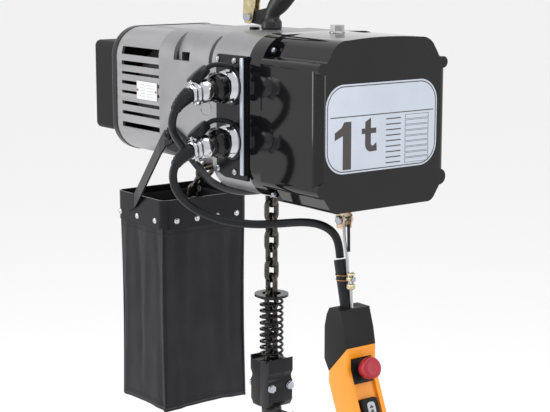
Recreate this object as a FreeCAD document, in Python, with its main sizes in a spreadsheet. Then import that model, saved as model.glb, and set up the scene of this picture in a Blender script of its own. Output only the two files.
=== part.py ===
import FreeCAD, Part
import math
import os
from FreeCAD import Placement, Rotation, Vector

# Electric chain hoist for 1 t on a 7.1 x 21 mm chain.
# The pieces are drawn about the load chain's line: X runs along the motor axis towards the control
# cover, the cable sockets face -Y, and Z is up. Each piece is then lowered by saddle_height, which
# puts the origin at the saddle of the top hook, where the hoist hangs.

doc = FreeCAD.newDocument("ChainHoist")

SIZES = {
    "saddle_height": 348, "wall": 6,
    "axis_height": 150,
    "frame_start": 5, "frame_end": 88, "frame_low": 41, "frame_high": 248, "frame_half": 100,
    "frame_corner": 40, "web_start": 34, "web_end": 46,
    "flange_end": 116, "cover_end": 230, "cover_half": 104,
    "gear_start": -123, "gear_low": 68, "gear_high": 246, "gear_half": 100, "gear_corner": 38,
    "motor_start": -240, "motor_half": 97, "motor_low": 66, "motor_high": 243, "motor_corner": 42,
    "ring_start": -255, "fan_start": -340, "fan_half": 75, "fan_low": 88, "fan_high": 219,
    "link_wire": 7.1, "link_inner": 21.1, "link_width": 8.9, "link_pitch": 21,
    "hook_bowl": 23, "hook_turn": 28,
    "bag_low": -316, "rim_height": 42, "bag_left": -284, "bag_right": -158, "bag_half": 75,
    "rim_wall": 2.5, "bag_wall": 3,
    "spring_top": -120, "spring_low": -207, "spring_radius": 15, "spring_wire": 3.6,
    "block_top": -207.5, "block_low": -272, "block_half": 20.5,
    "cable_radius": 5.2, "wire_radius": 1.9,
}

sheet = doc.addObject("Spreadsheet::Sheet", "Sizes")
for row, (alias, value) in enumerate(SIZES.items(), start=1):
    sheet.set(f"A{row}", alias)
    sheet.set(f"B{row}", str(value))
    sheet.setAlias(f"B{row}", alias)
doc.recompute()

PIECES = []


def size(alias):
    return float(getattr(sheet, alias))


# ---------------------------------------------------------------- document helpers

def publish(piece, node):
    """Name a finished piece and lower it from the chain line's frame to the hook saddle's."""
    piece.Label = node
    piece.setExpression("Placement.Base.z", "-Sizes.saddle_height")
    PIECES.append(piece)
    return piece


def feature(node, shapes):
    """A piece whose shape is made directly: one solid, or several alike in one node."""
    solids = []
    for shape in (shapes if isinstance(shapes, list) else [shapes]):
        solids.extend(shape.Solids)
    piece = doc.addObject("Part::Feature", node)
    piece.Shape = Part.makeCompound(solids)
    return publish(piece, node)


def new_body(node):
    return publish(doc.addObject("PartDesign::Body", node), node)


def sketch(body, role, offset, edges):
    """A sketch on one of the body's origin planes; offset is a number or an expression."""
    plane = [part for part in body.Origin.OriginFeatures if part.Role == role][0]
    drawing = body.newObject("Sketcher::SketchObject", "Sketch")
    drawing.AttachmentSupport = [(plane, "")]
    drawing.MapMode = "FlatFace"
    if isinstance(offset, str):
        drawing.setExpression("AttachmentOffset.Base.z", offset)
    else:
        drawing.AttachmentOffset = Placement(Vector(0, 0, offset), Rotation())
    drawing.addGeometry(edges, False)
    return drawing


def set_length(operation, length):
    if isinstance(length, str):
        operation.setExpression("Length", length)
    else:
        operation.Length = length


def pad(body, drawing, length):
    """Thicken a sketch along its plane's normal."""
    operation = body.newObject("PartDesign::Pad", "Pad")
    operation.Profile = drawing
    set_length(operation, length)
    doc.recompute()
    return operation


def pocket(body, drawing, length, both=False):
    """Cut a sketch against its plane's normal, or through everything both ways."""
    before = body.Shape.Volume
    operation = body.newObject("PartDesign::Pocket", "Pocket")
    operation.Profile = drawing
    if both:
        operation.Type = "ThroughAll"
        operation.Midplane = True
    else:
        set_length(operation, length)
    doc.recompute()
    if not body.Shape.Volume < before - 1:
        raise RuntimeError(f"{body.Label}: a pocket cut nothing")
    return operation


def round_edges(body, radius, chosen):
    """Fillet the edges for which chosen(edge) is true."""
    tip = body.Tip
    names = [f"Edge{i + 1}" for i, edge in enumerate(tip.Shape.Edges) if chosen(edge)]
    operation = body.newObject("PartDesign::Fillet", "Fillet")
    operation.Base = (tip, names)
    operation.Radius = radius
    doc.recompute()
    return operation


# ---------------------------------------------------------------- outlines for sketches

def flat(x, y):
    return Vector(x, y, 0)


def outline(start, *steps):
    """Closed outline: a step is (x, y) for a line, or (x, y, x, y) for an arc through a point."""
    edges = []
    here = start
    for step in steps + (start,):
        target = step[-2:]
        if len(step) == 4:
            edges.append(Part.Arc(flat(*here), flat(*step[:2]), flat(*target)))
        elif math.dist(here, target) > 1e-6:
            edges.append(Part.LineSegment(flat(*here), flat(*target)))
        here = target
    return edges


def rectangle(x0, y0, x1, y1):
    return outline((x0, y0), (x1, y0), (x1, y1), (x0, y1))


def rounded(x0, y0, x1, y1, r):
    k = r * (1 - math.sqrt(0.5))
    return outline((x0 + r, y0), (x1 - r, y0), (x1 - k, y0 + k, x1, y0 + r), (x1, y1 - r),
                   (x1 - k, y1 - k, x1 - r, y1), (x0 + r, y1), (x0 + k, y1 - k, x0, y1 - r),
                   (x0, y0 + r), (x0 + k, y0 + k, x0 + r, y0))


def circle(x, y, r):
    return [Part.Circle(flat(x, y), Vector(0, 0, 1), r)]


# ---------------------------------------------------------------- plain solids

UP = Vector(0, 0, 1)
ALONG = Vector(1, 0, 0)
BACK = Vector(0, 1, 0)


def rod(r, start, end):
    start, end = Vector(*start), Vector(*end)
    return Part.makeCylinder(r, (end - start).Length, start, end - start)


def block(x0, y0, z0, x1, y1, z1):
    return Part.makeBox(x1 - x0, y1 - y0, z1 - z0, Vector(x0, y0, z0))


def ring(inner, outer, start, end):
    return rod(outer, start, end).cut(rod(inner, start, end))


def prism(edges, direction):
    face = Part.Face(Part.Wire([edge.toShape() for edge in edges]))
    return face.extrude(direction)


def standing(edges, y, depth):
    """An outline drawn in (X, Z), from Y = y for depth along +Y."""
    solid = prism(edges, Vector(0, 0, -depth))
    solid.rotate(Vector(), ALONG, 90)
    solid.translate(Vector(0, y, 0))
    return solid


def hexagon(across, height, foot, direction):
    """A hexagonal prism standing on the point foot."""
    r = across / math.sqrt(3)
    corners = [(r * math.cos(math.radians(60 * k)), r * math.sin(math.radians(60 * k)))
               for k in range(6)]
    solid = prism(outline(corners[0], *corners[1:]), Vector(0, 0, height))
    solid.Placement = Placement(Vector(*foot), Rotation(UP, Vector(*direction)))
    return solid


def screw(head_r, head_high, shank_r, shank_long, seat, direction):
    """A pan screw: its head stands on seat, along direction, and its shank goes the other way."""
    seat, direction = Vector(*seat), Vector(*direction)
    head = Part.makeCylinder(head_r, head_high, seat, direction)
    shank = Part.makeCylinder(shank_r, shank_long, seat - direction * shank_long, direction)
    return head.fuse(shank).removeSplitter()


def turned(profile, foot, direction):
    """Revolve (distance along, radius) points about the line through foot along direction."""
    points = [Vector(r, 0, along) for along, r in profile]
    wire = Part.makePolygon(points + [points[0]])
    solid = Part.Face(wire).revolve(Vector(), UP, 360)
    solid.Placement = Placement(Vector(*foot), Rotation(UP, Vector(*direction)))
    return solid


def tube(points, r, name):
    """A cord's tube: straight runs joined by tangent arcs, each as large as its runs allow."""
    points = [Vector(*p) for p in points]
    edges = []
    radii = []
    here = points[0]
    for before, corner, after in zip(points, points[1:], points[2:]):
        a, b = (before - corner), (after - corner)
        shorter = min(a.Length, b.Length)
        a.normalize()
        b.normalize()
        turn = math.pi - a.getAngle(b)
        reach = 0.45 * shorter
        bend = reach / math.tan(turn / 2)
        middle_way = a + b
        middle_way.normalize()
        mid = corner + middle_way * (bend / math.cos(turn / 2) - bend)
        enter, leave = corner + a * reach, corner + b * reach
        edges.append(Part.LineSegment(here, enter).toShape())
        edges.append(Part.Arc(enter, mid, leave).toShape())
        radii.append(bend)
        here = leave
    edges.append(Part.LineSegment(here, points[-1]).toShape())
    path = Part.Wire(edges)
    section = Part.Wire(Part.makeCircle(r, points[0], points[1] - points[0]))
    solid = path.makePipeShell([section], True, False)
    ideal = math.pi * r * r * path.Length
    print(f"{name}: length {path.Length:.0f} mm, tightest bend {min(radii):.1f} mm, "
          f"volume ratio {solid.Volume / ideal:.4f}")
    return solid


# ---------------------------------------------------------------- chain

def link_solid():
    """One chain link standing on Z in the XZ plane."""
    wire, inner, width = size("link_wire"), size("link_inner"), size("link_width")
    turn = (wire + width) / 2
    half = (inner + wire) / 2 - turn
    path = Part.Wire([
        Part.LineSegment(Vector(turn, 0, -half), Vector(turn, 0, half)).toShape(),
        Part.Arc(Vector(turn, 0, half), Vector(0, 0, half + turn), Vector(-turn, 0, half)).toShape(),
        Part.LineSegment(Vector(-turn, 0, half), Vector(-turn, 0, -half)).toShape(),
        Part.Arc(Vector(-turn, 0, -half), Vector(0, 0, -half - turn), Vector(turn, 0, -half)).toShape()])
    section = Part.Wire(Part.makeCircle(wire / 2, Vector(turn, 0, -half), UP))
    return path.makePipeShell([section], True, True)


LINK = link_solid()


def chain_links(centre, heading, flatwise, count, turns):
    """Links in a row, the first one flat across flatwise. turns[i] = (axis, degrees) bends the chain
    between link i and link i + 1, in whichever of the two links lies across that axis."""
    wire, inner, width = size("link_wire"), size("link_inner"), size("link_width")
    turn = (wire + width) / 2
    half = (inner + wire) / 2 - turn
    slack = size("link_pitch") - 2 * half - turn
    centre, heading, normal = Vector(*centre), Vector(*heading), Vector(*flatwise)
    links = []
    for i in range(count):
        side = normal.cross(heading)
        frame = FreeCAD.Matrix(side.x, normal.x, heading.x, centre.x,
                               side.y, normal.y, heading.y, centre.y,
                               side.z, normal.z, heading.z, centre.z, 0, 0, 0, 1)
        link = LINK.copy()
        link.Placement = Placement(frame)
        links.append(link)
        across = heading.cross(normal)
        axis, angle = turns.get(i, (normal, 0))
        own = abs(axis.dot(normal)) > abs(axis.dot(across))
        pin = normal if own else across
        if axis.dot(pin) < 0:
            pin = -pin
        bend = Rotation(pin, angle)
        ahead = bend.multVec(heading)
        first, second = (slack, turn) if own else (turn, slack)
        centre = centre + heading * (half + first) + ahead * (second + half)
        normal, heading = bend.multVec(across), ahead
    return links


# ---------------------------------------------------------------- housing shells

def frame_outline(inset=0):
    return rounded(-size("frame_half") + inset, size("frame_low") + inset,
                   size("frame_half") - inset, size("frame_high") - inset, size("frame_corner") - inset)


WHEEL_Y = 31.16
AXIS_Z = size("axis_height")
LAY_Y, LAY_Z = -11.47, 192.2
SLACK_Y = WHEEL_Y + 33.5


def make_middle_frame():
    body = new_body("middle_frame")
    pad(body, sketch(body, "YZ_Plane", "Sizes.frame_start", frame_outline()),
        "Sizes.frame_end - Sizes.frame_start")
    pocket(body, sketch(body, "YZ_Plane", "Sizes.web_start", frame_outline(size("wall"))),
           "Sizes.web_start - Sizes.frame_start + 1")
    pocket(body, sketch(body, "YZ_Plane", "Sizes.frame_end + 1", frame_outline(size("wall"))),
           "Sizes.frame_end + 1 - Sizes.web_end")
    pocket(body, sketch(body, "YZ_Plane", "Sizes.web_end", circle(WHEEL_Y, AXIS_Z, 14)), 12)
    pocket(body, sketch(body, "XY_Plane", 250, circle(0, 0, 14)), 12)
    pocket(body, sketch(body, "XY_Plane", 60, rectangle(4, -19, 21, 84)), 24)
    for z in (183, 113):
        pocket(body, sketch(body, "XZ_Plane", 101, circle(58, z, 15)), 10)
    return body


def make_gear_case():
    body = new_body("gear_case")
    low, high, half, corner = size("gear_low"), size("gear_high"), size("gear_half"), size("gear_corner")
    wall = size("wall")
    inner = rounded(-half + wall, low + wall, half - wall, high - wall, corner - wall)
    pad(body, sketch(body, "YZ_Plane", "Sizes.gear_start", rounded(-half, low, half, high, corner)),
        "Sizes.frame_start - Sizes.gear_start")
    pocket(body, sketch(body, "YZ_Plane", "Sizes.frame_start", inner), 81)
    pocket(body, sketch(body, "YZ_Plane", -84, inner), 33)
    for y, z, r in ((0, AXIS_Z, 16), (WHEEL_Y, AXIS_Z, 14), (LAY_Y, LAY_Z, 12)):
        pocket(body, sketch(body, "YZ_Plane", -76, circle(y, z, r)), 8)
    pocket(body, sketch(body, "YZ_Plane", -117, circle(0, AXIS_Z, 26)), 6)
    pocket(body, sketch(body, "XY_Plane", 250, circle(0, 0, 14)), 12)
    pocket(body, sketch(body, "XY_Plane", 96, rectangle(-21, -19, 6, 51)), 40)
    pocket(body, sketch(body, "XY_Plane", 96, rectangle(-68, 45, 6, 84)), 40)
    for side in (-1, 1):
        scoop = outline((side * 102, 206.5), (side * 93, 207.5), (side * 90, 226, side * 76, 243.3),
                        (side * 76, 250), (side * 102, 250))
        pocket(body, sketch(body, "YZ_Plane", -48, scoop), 38)
        groove = outline((side * 102, 206.5), (side * 96, 207.5), (side * 92, 224, side * 79, 240.5),
                         (side * 79, 250), (side * 102, 250))
        pocket(body, sketch(body, "YZ_Plane", 5, groove), 8)
    return body


def make_motor_shell():
    body = new_body("motor_shell")
    low, high, half, corner = size("motor_low"), size("motor_high"), size("motor_half"), size("motor_corner")
    pad(body, sketch(body, "YZ_Plane", "Sizes.motor_start", rounded(-half, low, half, high, corner)),
        "Sizes.gear_start - Sizes.motor_start")
    pocket(body, sketch(body, "YZ_Plane", "Sizes.gear_start",
                        rounded(-half + 4, low + 4, half - 4, high - 4, corner - 4)), 120)
    slots = []
    for z0, z1 in ((206, 217), (191, 197), (178, 182), (164, 169), (151, 155), (135, 140),
                   (121, 126), (103, 110)):
        slots.extend(rectangle(-226, z0, -127, z1))
    pocket(body, sketch(body, "XZ_Plane", 0, slots), 0, both=True)
    top_slots = []
    for y in (-52, -38, 38, 52):
        top_slots.extend(rectangle(-224, y - 2, -140, y + 2))
    pocket(body, sketch(body, "XY_Plane", 250, top_slots), 14)
    return body


def make_motor_end_ring():
    body = new_body("motor_end_ring")
    low, high, half, corner = size("motor_low"), size("motor_high"), size("motor_half"), size("motor_corner")
    pad(body, sketch(body, "YZ_Plane", "Sizes.ring_start",
                     rounded(-half - 1, low - 1, half + 1, high + 1, corner + 1)),
        "Sizes.motor_start - Sizes.ring_start")
    round_edges(body, 6, lambda edge: edge.BoundBox.XMax < size("ring_start") + 0.1)
    pocket(body, sketch(body, "YZ_Plane", "Sizes.motor_start", circle(0, AXIS_Z, 60)), 9)
    pocket(body, sketch(body, "YZ_Plane", -248, circle(0, AXIS_Z, 16)), 8)
    vents = []
    for k in range(8):
        angle = math.radians(45 * k + 22.5)
        vents.extend(circle(40 * math.cos(angle), AXIS_Z + 40 * math.sin(angle), 11))
    pocket(body, sketch(body, "YZ_Plane", -248, vents), 8)
    return body


def make_fan_cover():
    body = new_body("fan_cover")
    half, low, high = size("fan_half"), size("fan_low"), size("fan_high")
    pad(body, sketch(body, "YZ_Plane", "Sizes.fan_start", rounded(-half, low, half, high, 9)),
        "Sizes.ring_start - Sizes.fan_start")
    round_edges(body, 4, lambda edge: edge.BoundBox.XMax < size("fan_start") + 0.1)
    inner = rounded(-half + 3, low + 3, half - 3, high - 3, 6)
    pocket(body, sketch(body, "YZ_Plane", "Sizes.ring_start", inner), 82)
    grille = []
    for k in range(7):
        z = AXIS_Z - 36 + 12 * k
        grille.extend(rectangle(-44, z - 2.5, 44, z + 2.5))
    pocket(body, sketch(body, "YZ_Plane", -330, grille), 12)
    return body


def cover_outline():
    """The control cover's section, with a step cut out of each upper corner."""
    half = size("cover_half")
    right = [(half, 213), (102.5, 219.6, 98.5, 222), (92.5, 222), (89.6, 223.4, 88, 226),
             (80, 238.5), (71, 245.6, 58, 248)]
    left = [(-71, 245.6, -80, 238.5), (-88, 226), (-89.6, 223.4, -92.5, 222), (-98.5, 222),
            (-102.5, 219.6, -half, 213)]
    low_left = [(-half, 72), (-101.8, 63, -94, 59.5), (-84.5, 45.5), (-80, 41.6, -72, 40)]
    low_right = [(72, 40), (80, 41.6, 84.5, 45.5), (94, 59.5), (101.8, 63, half, 72)]
    steps = low_right + right + [(0, 250.5, -58, 248)] + left + low_left
    return outline(steps[0], *steps[1:])


COVER_SCREWS = [(-84, 230), (84, 230), (-83.6, 50), (83.6, 50)]
PLATE_SCREWS = [(24, 215), (61, 215), (24, 74), (61, 73)]


def make_control_cover():
    """The cover, with a notch in each corner that leaves its screw in the open."""
    body = new_body("control_cover")
    end = size("cover_end")
    pad(body, sketch(body, "YZ_Plane", "Sizes.frame_end", rounded(-102, 41, 102, 249.5, 41)),
        "Sizes.flange_end - Sizes.frame_end")
    pad(body, sketch(body, "YZ_Plane", "Sizes.flange_end", cover_outline()),
        "Sizes.cover_end - Sizes.flange_end")

    def flank_end(edge):
        box = edge.BoundBox
        return box.XMin > end - 0.1 and abs(box.YMin) > 103.9 and abs(box.YMax) > 103.9 and box.ZLength > 100
    round_edges(body, 12, flank_end)
    hollow = outline((-60, 45), (60, 45), (68, 50), (74, 62), (88, 68), (99, 80), (99, 206), (86, 211),
                     (73, 221), (66, 242), (-66, 242), (-73, 221), (-86, 211), (-99, 206), (-99, 80),
                     (-88, 68), (-74, 62), (-68, 50))
    pocket(body, sketch(body, "YZ_Plane", 214, hollow), 127)
    for side in (-1, 1):
        high = outline((side * 106, 223), (side * 90, 223), (side * 80, 225), (side * 78, 232),
                       (side * 76.5, 250), (side * 106, 252))
        low = outline((side * 106, 60), (side * 90, 58.6), (side * 81, 56.5), (side * 78.5, 50),
                      (side * 77, 36), (side * 106, 34))
        pocket(body, sketch(body, "YZ_Plane", 136, high), 20)
        pocket(body, sketch(body, "YZ_Plane", 136, low), 20)
    holes = []
    for y, z in COVER_SCREWS:
        holes.extend(circle(y, z, 3.02))
    pocket(body, sketch(body, "YZ_Plane", "Sizes.flange_end", holes), 21)
    return body


def make_connector_plate():
    body = new_body("connector_plate")
    plate = outline((20, 70), (38, 64), (88, 64), (88, 222), (24, 222), (20, 218))
    pad(body, sketch(body, "XZ_Plane", "Sizes.frame_half", plate), 4)
    pad(body, sketch(body, "XZ_Plane", "Sizes.frame_half + 4", rounded(76, 70, 85, 221, 3)), 2.5)
    holes = circle(58, 183, 15) + circle(58, 113, 15)
    for x, z in PLATE_SCREWS:
        holes.extend(circle(x, z, 2.03))
    pocket(body, sketch(body, "XZ_Plane", 108, holes), 20)
    return body


def make_nameplates():
    name = prism(rounded(-93, 88, 86, 196, 28), Vector(0, 0, 1.2))
    name.rotate(Vector(), Vector(1, 1, 1), 120)
    name.translate(Vector(size("cover_end"), 0, 0))
    rating = standing(rectangle(-184, 146, -132, 171), -98.5, 1.4)
    return feature("nameplates", [name, rating])


def make_fasteners():
    shapes = []
    for x, z in PLATE_SCREWS:
        shapes.append(screw(4, 2.6, 2, 4, (x, -104.02, z), (0, -1, 0)))
    for y, z in COVER_SCREWS:
        shapes.append(screw(4.2, 4, 3, 20, (116, y, z), (1, 0, 0)))
    flange = rod(10, (138, 0, 250.55), (138, 0, 253))
    shapes.append(flange.fuse(hexagon(16, 9, (138, 0, 253), (0, 0, 1))))
    shapes.append(rod(7, (-38, 0, 246), (-38, 0, 250)))
    for side in (-1, 1):
        shapes.append(screw(7, 4.5, 4, 8, (-90, side * 108.2, 105), (0, side, 0)))
        shapes.append(screw(5.5, 4, 3.5, 4.4, (-60, side * 104.6, 96), (0, side, 0)))
    return feature("housing_fasteners", shapes)


def make_bag_brackets():
    shapes = []
    for side in (-1, 1):
        plate = outline((-98, 85), (-98, 114), (-82, 116), (-50, 102), (-50, 90), (-72, 82))
        solid = standing(plate, 100.2, 4.3)
        for x, z, r in ((-90, 105, 4), (-60, 96, 3.5)):
            solid = solid.cut(rod(r, (x, 90, z), (x, 110, z)))
        if side < 0:
            solid = solid.mirror(Vector(), BACK)
        shapes.append(solid)
    return feature("bag_brackets", shapes)


# ---------------------------------------------------------------- hooks

def hook_solid(shank_from, shank_to):
    """A forged hook in the XZ plane, its saddle at the origin and its shank running down."""
    bowl = size("hook_bowl")
    centre = -bowl
    way = [(0, -86, 11), (5, -74, 11.5), (15, -62, 13.5), (27, -47, 14), (35, -33, 14.2)]
    for angle in (0, 22, 45, 68, 90, 112, 135, 158, 180, 196):
        r = bowl + 14 - 0.012 * angle
        thick = 14 - 3.2 * angle / 196
        way.append((r * math.cos(math.radians(angle)), centre + r * math.sin(math.radians(angle)), thick))
    sections = []
    for i, (x, z, r) in enumerate(way):
        before, after = way[max(i - 1, 0)], way[min(i + 1, len(way) - 1)]
        ahead = Vector(after[0] - before[0], 0, after[1] - before[1])
        if i == 0:
            ahead = Vector(0, 0, 1)
        sections.append(Part.Wire(Part.makeCircle(r, Vector(x, 0, z), ahead)))
    bowl_part = Part.makeLoft(sections, True, False)
    shank = rod(11, (0, 0, shank_from), (0, 0, -85))
    collar = turned([(-103, 0), (-103, 11), (-98, 14), (-90, 14), (-84, 10), (-84, 0)], (0, 0, 0), (0, 0, 1))
    lug = standing(outline((-6, -96), (-30, -91.5), (-33.5, -84, -30, -77.5), (-6, -72)), -5, 10)
    tip = Part.makeSphere(10.9, Vector(way[-1][0], 0, way[-1][1]))
    solid = bowl_part.fuse([shank, collar, lug, tip])
    return solid.cut(rod(3.05, (-30, -9, -84), (-30, 9, -84))).removeSplitter()


def latch_solid():
    """A folded sheet latch, pivoted on the hook's lug and closing on the hook's tip."""
    profile = outline((-35, -92), (-38, -84), (-36, -47), (-30, -44.6), (-24.3, -40.6), (-20.6, -30),
                      (-15, -31), (-19, -50), (-22, -76), (-24, -88), (-28, -93))
    outer = standing(profile, -9.2, 18.4)
    gap = standing(outline((-24, -100), (-42, -100), (-42, -77), (-34.3, -76), (-33.5, -49), (-27, -42.6),
                           (-21.5, -28), (-8, -28), (-8, -100)), -6.4, 12.8)
    return outer.cut(gap).cut(rod(3.1, (-30, -12, -84), (-30, 12, -84)))


def latch_bolt_solid():
    return rod(3, (-30, -12, -84), (-30, 12, -84)).fuse(
        [rod(5.2, (-30, -14.5, -84), (-30, -9.6, -84)), rod(5.2, (-30, 9.6, -84), (-30, 14.5, -84))])


def place_top(solid):
    solid.rotate(Vector(), UP, size("hook_turn"))
    solid.translate(Vector(0, 0, size("saddle_height")))
    return solid


BOTTOM_SADDLE = -375.5


def place_bottom(solid):
    solid.rotate(Vector(), ALONG, 180)
    solid.rotate(Vector(), UP, size("hook_turn") + 180)
    solid.translate(Vector(0, 0, BOTTOM_SADDLE))
    return solid


def make_hooks():
    feature("top_hook", place_top(hook_solid(-158, 0)))
    feature("top_latch", place_top(latch_solid()))
    feature("top_latch_bolt", place_top(latch_bolt_solid()))
    feature("bottom_hook", place_bottom(hook_solid(-144, 0)))
    feature("bottom_latch", place_bottom(latch_solid()))
    feature("bottom_latch_bolt", place_bottom(latch_bolt_solid()))
    nut = hexagon(32, 14, (0, 0, 192), (0, 0, 1)).cut(rod(11, (0, 0, 190), (0, 0, 208)))
    feature("top_hook_nut", nut)
    races = [ring(11.02, 19, (0, 0, 206), (0, 0, 208)), ring(11.02, 19, (0, 0, 212), (0, 0, 213.9))]
    balls = []
    for k in range(12):
        angle = math.radians(30 * k)
        balls.append(Part.makeSphere(2, Vector(15 * math.cos(angle), 15 * math.sin(angle), 210)))
    feature("thrust_bearing", races + balls)
    feature("bottom_hook_nut", ring(11, 15, (0, 0, -238.8), (0, 0, -231.5)))


# ---------------------------------------------------------------- gears and shafts

def gear_face(teeth, module, addendum, phase):
    """A spur gear's outline in a plane: 20 degree involute teeth, thinned for backlash."""
    pitch = teeth * module / 2
    base = pitch * math.cos(math.radians(20))
    tip = pitch + addendum * module
    root = pitch - (0.85 if teeth < 20 else 1.1) * module
    half_pitch_angle = math.pi / (2 * teeth) - 0.14 * module / pitch

    def spread(r):
        if r <= base:
            return 0
        pressure = math.acos(base / r)
        return math.tan(pressure) - pressure

    def flank(r, side, middle):
        angle = middle + side * (half_pitch_angle + spread(pitch) - spread(r))
        return (r * math.cos(angle), r * math.sin(angle))

    start = max(root, base)
    between = (start + tip) / 2
    first = None
    steps = []
    for k in range(teeth):
        middle = phase + 2 * math.pi * k / teeth
        valley = middle - math.pi / teeth
        low = flank(start, -1, middle)
        foot = (root * low[0] / start, root * low[1] / start)
        valley_point = (root * math.cos(valley), root * math.sin(valley))
        if first is None:
            first = foot
        else:
            steps.append(valley_point + foot)
        if root < base:
            steps.append(low)
        steps.append(flank(between, -1, middle) + flank(tip, -1, middle))
        steps.append((tip * math.cos(middle), tip * math.sin(middle)) + flank(tip, 1, middle))
        high = flank(start, 1, middle)
        steps.append(flank(between, 1, middle) + high)
        if root < base:
            steps.append((root * high[0] / start, root * high[1] / start))
    edges = outline(first, *steps)[:-1]
    closing = phase - math.pi / teeth
    edges.append(Part.Arc(flat(*steps[-1][-2:]), flat(root * math.cos(closing), root * math.sin(closing)),
                          flat(*first)))
    return edges


def gear(teeth, module, addendum, phase, y, z, x0, x1):
    solid = prism(gear_face(teeth, module, addendum, phase), Vector(0, 0, x1 - x0))
    solid.rotate(Vector(), Vector(1, 1, 1), 120)
    solid.translate(Vector(x0, y, z))
    return solid


def make_drive():
    """Motor pinion 10:60 to the layshaft, then 10:50 to the load wheel's shaft."""
    to_lay = math.atan2(LAY_Z - AXIS_Z, LAY_Y)
    lay_to_wheel = math.atan2(AXIS_Z - LAY_Z, WHEEL_Y - LAY_Y)
    pinion = gear(10, 1.25, 0.8, to_lay, 0, AXIS_Z, -61, -49)
    shaft = rod(7.5, (-325, 0, AXIS_Z), (-62, 0, AXIS_Z)).fuse(
        [rod(5, (-62, 0, AXIS_Z), (-61, 0, AXIS_Z)), pinion])
    feature("motor_shaft", shaft.removeSplitter())
    wheel = gear(60, 1.25, 0.55, to_lay + math.pi + math.pi / 60, LAY_Y, LAY_Z, -60, -50)
    small = gear(10, 2, 0.8, lay_to_wheel, LAY_Y, LAY_Z, -48, -29)
    shaft = rod(6, (-83, LAY_Y, LAY_Z), (-22, LAY_Y, LAY_Z))
    feature("intermediate_gear", wheel.fuse([small, shaft, rod(9, (-76, LAY_Y, LAY_Z), (-50, LAY_Y, LAY_Z))]))
    out = gear(50, 2, 0.55, lay_to_wheel + math.pi + math.pi / 50, WHEEL_Y, AXIS_Z, -44, -30)
    out = out.cut(rod(10, (-50, WHEEL_Y, AXIS_Z), (-20, WHEEL_Y, AXIS_Z)))
    for k in range(6):
        angle = math.radians(60 * k + 15)
        y, z = WHEEL_Y + 29 * math.cos(angle), AXIS_Z + 29 * math.sin(angle)
        out = out.cut(rod(8, (-50, y, z), (-20, y, z)))
    feature("output_gear", out)

    body = rod(27.2, (-15, WHEEL_Y, AXIS_Z), (15, WHEEL_Y, AXIS_Z))
    body = body.cut(ring(18, 40, (-4.8, WHEEL_Y, AXIS_Z), (4.8, WHEEL_Y, AXIS_Z)))
    body = body.fuse(rod(10, (-83, WHEEL_Y, AXIS_Z), (46, WHEEL_Y, AXIS_Z)))
    for k in range(5):
        for side in (-1, 1):
            lug = block(5.4, -1.8, 25, 14, 1.8, 31.3)
            if side < 0:
                lug = lug.mirror(Vector(), ALONG)
            lug.rotate(Vector(), ALONG, 54 + 72 * k)
            lug.translate(Vector(0, WHEEL_Y, AXIS_Z))
            body = body.fuse(lug)
    feature("load_wheel", body.removeSplitter())


def make_motor():
    centre = (0, AXIS_Z)
    feature("stator_core", ring(42.4, 78, (-215, *centre), (-150, *centre)))
    feature("stator_windings", [ring(44, 70, (-233, *centre), (-215, *centre)),
                                ring(44, 70, (-150, *centre), (-132, *centre))])
    feature("rotor_core", ring(7.5, 42, (-217, *centre), (-148, *centre)))
    blades = ring(7.5, 16, (-318, *centre), (-296, *centre))
    for k in range(9):
        blade = block(-316, -1.5, 15, -298, 1.5, 52)
        blade.rotate(Vector(), ALONG, 40 * k)
        blade.translate(Vector(0, 0, AXIS_Z))
        blades = blades.fuse(blade)
    blades = blades.fuse(ring(7.5, 52, (-298.5, *centre), (-296, *centre)))
    feature("cooling_fan", blades.removeSplitter())
    feature("brake_magnet", ring(12, 50, (-114, *centre), (-100, *centre)))
    feature("brake_disc", ring(7.5, 46, (-99.5, *centre), (-93, *centre)))
    bearings = [ring(7.55, 16, (-84, *centre), (-76, *centre)),
                ring(7.55, 16, (-255, *centre), (-248, *centre)),
                ring(10.05, 14, (-84, WHEEL_Y, AXIS_Z), (-76, WHEEL_Y, AXIS_Z)),
                ring(10.05, 14, (34, WHEEL_Y, AXIS_Z), (46, WHEEL_Y, AXIS_Z)),
                ring(6.05, 12, (-84, LAY_Y, LAY_Z), (-76, LAY_Y, LAY_Z)),
                ring(6.05, 12, (-27, LAY_Y, LAY_Z), (-21, LAY_Y, LAY_Z))]
    feature("shaft_bearings", bearings)


# ---------------------------------------------------------------- chain path

def make_chain():
    pitch = size("link_pitch")
    load = chain_links((0, 0, 108), (0, 0, -1), (0, 1, 0), 16, {})
    feature("load_chain", load)
    turns = {}
    for i in range(1, 6):
        turns[i] = (-ALONG, 36)
    for i, angle in zip(range(8, 12), (22.5, 22.5, 22.5, 18.5)):
        turns[i] = (BACK, angle)
    for i in (12, 14):
        turns[i] = (UP, 12)
    for i in range(17, 21):
        turns[i] = (-BACK, 19.5)
    links = chain_links((0, 0, 150 - pitch), (0, 0, 1), (1, 0, 0), 25, turns)
    feature("slack_chain", links)


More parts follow.
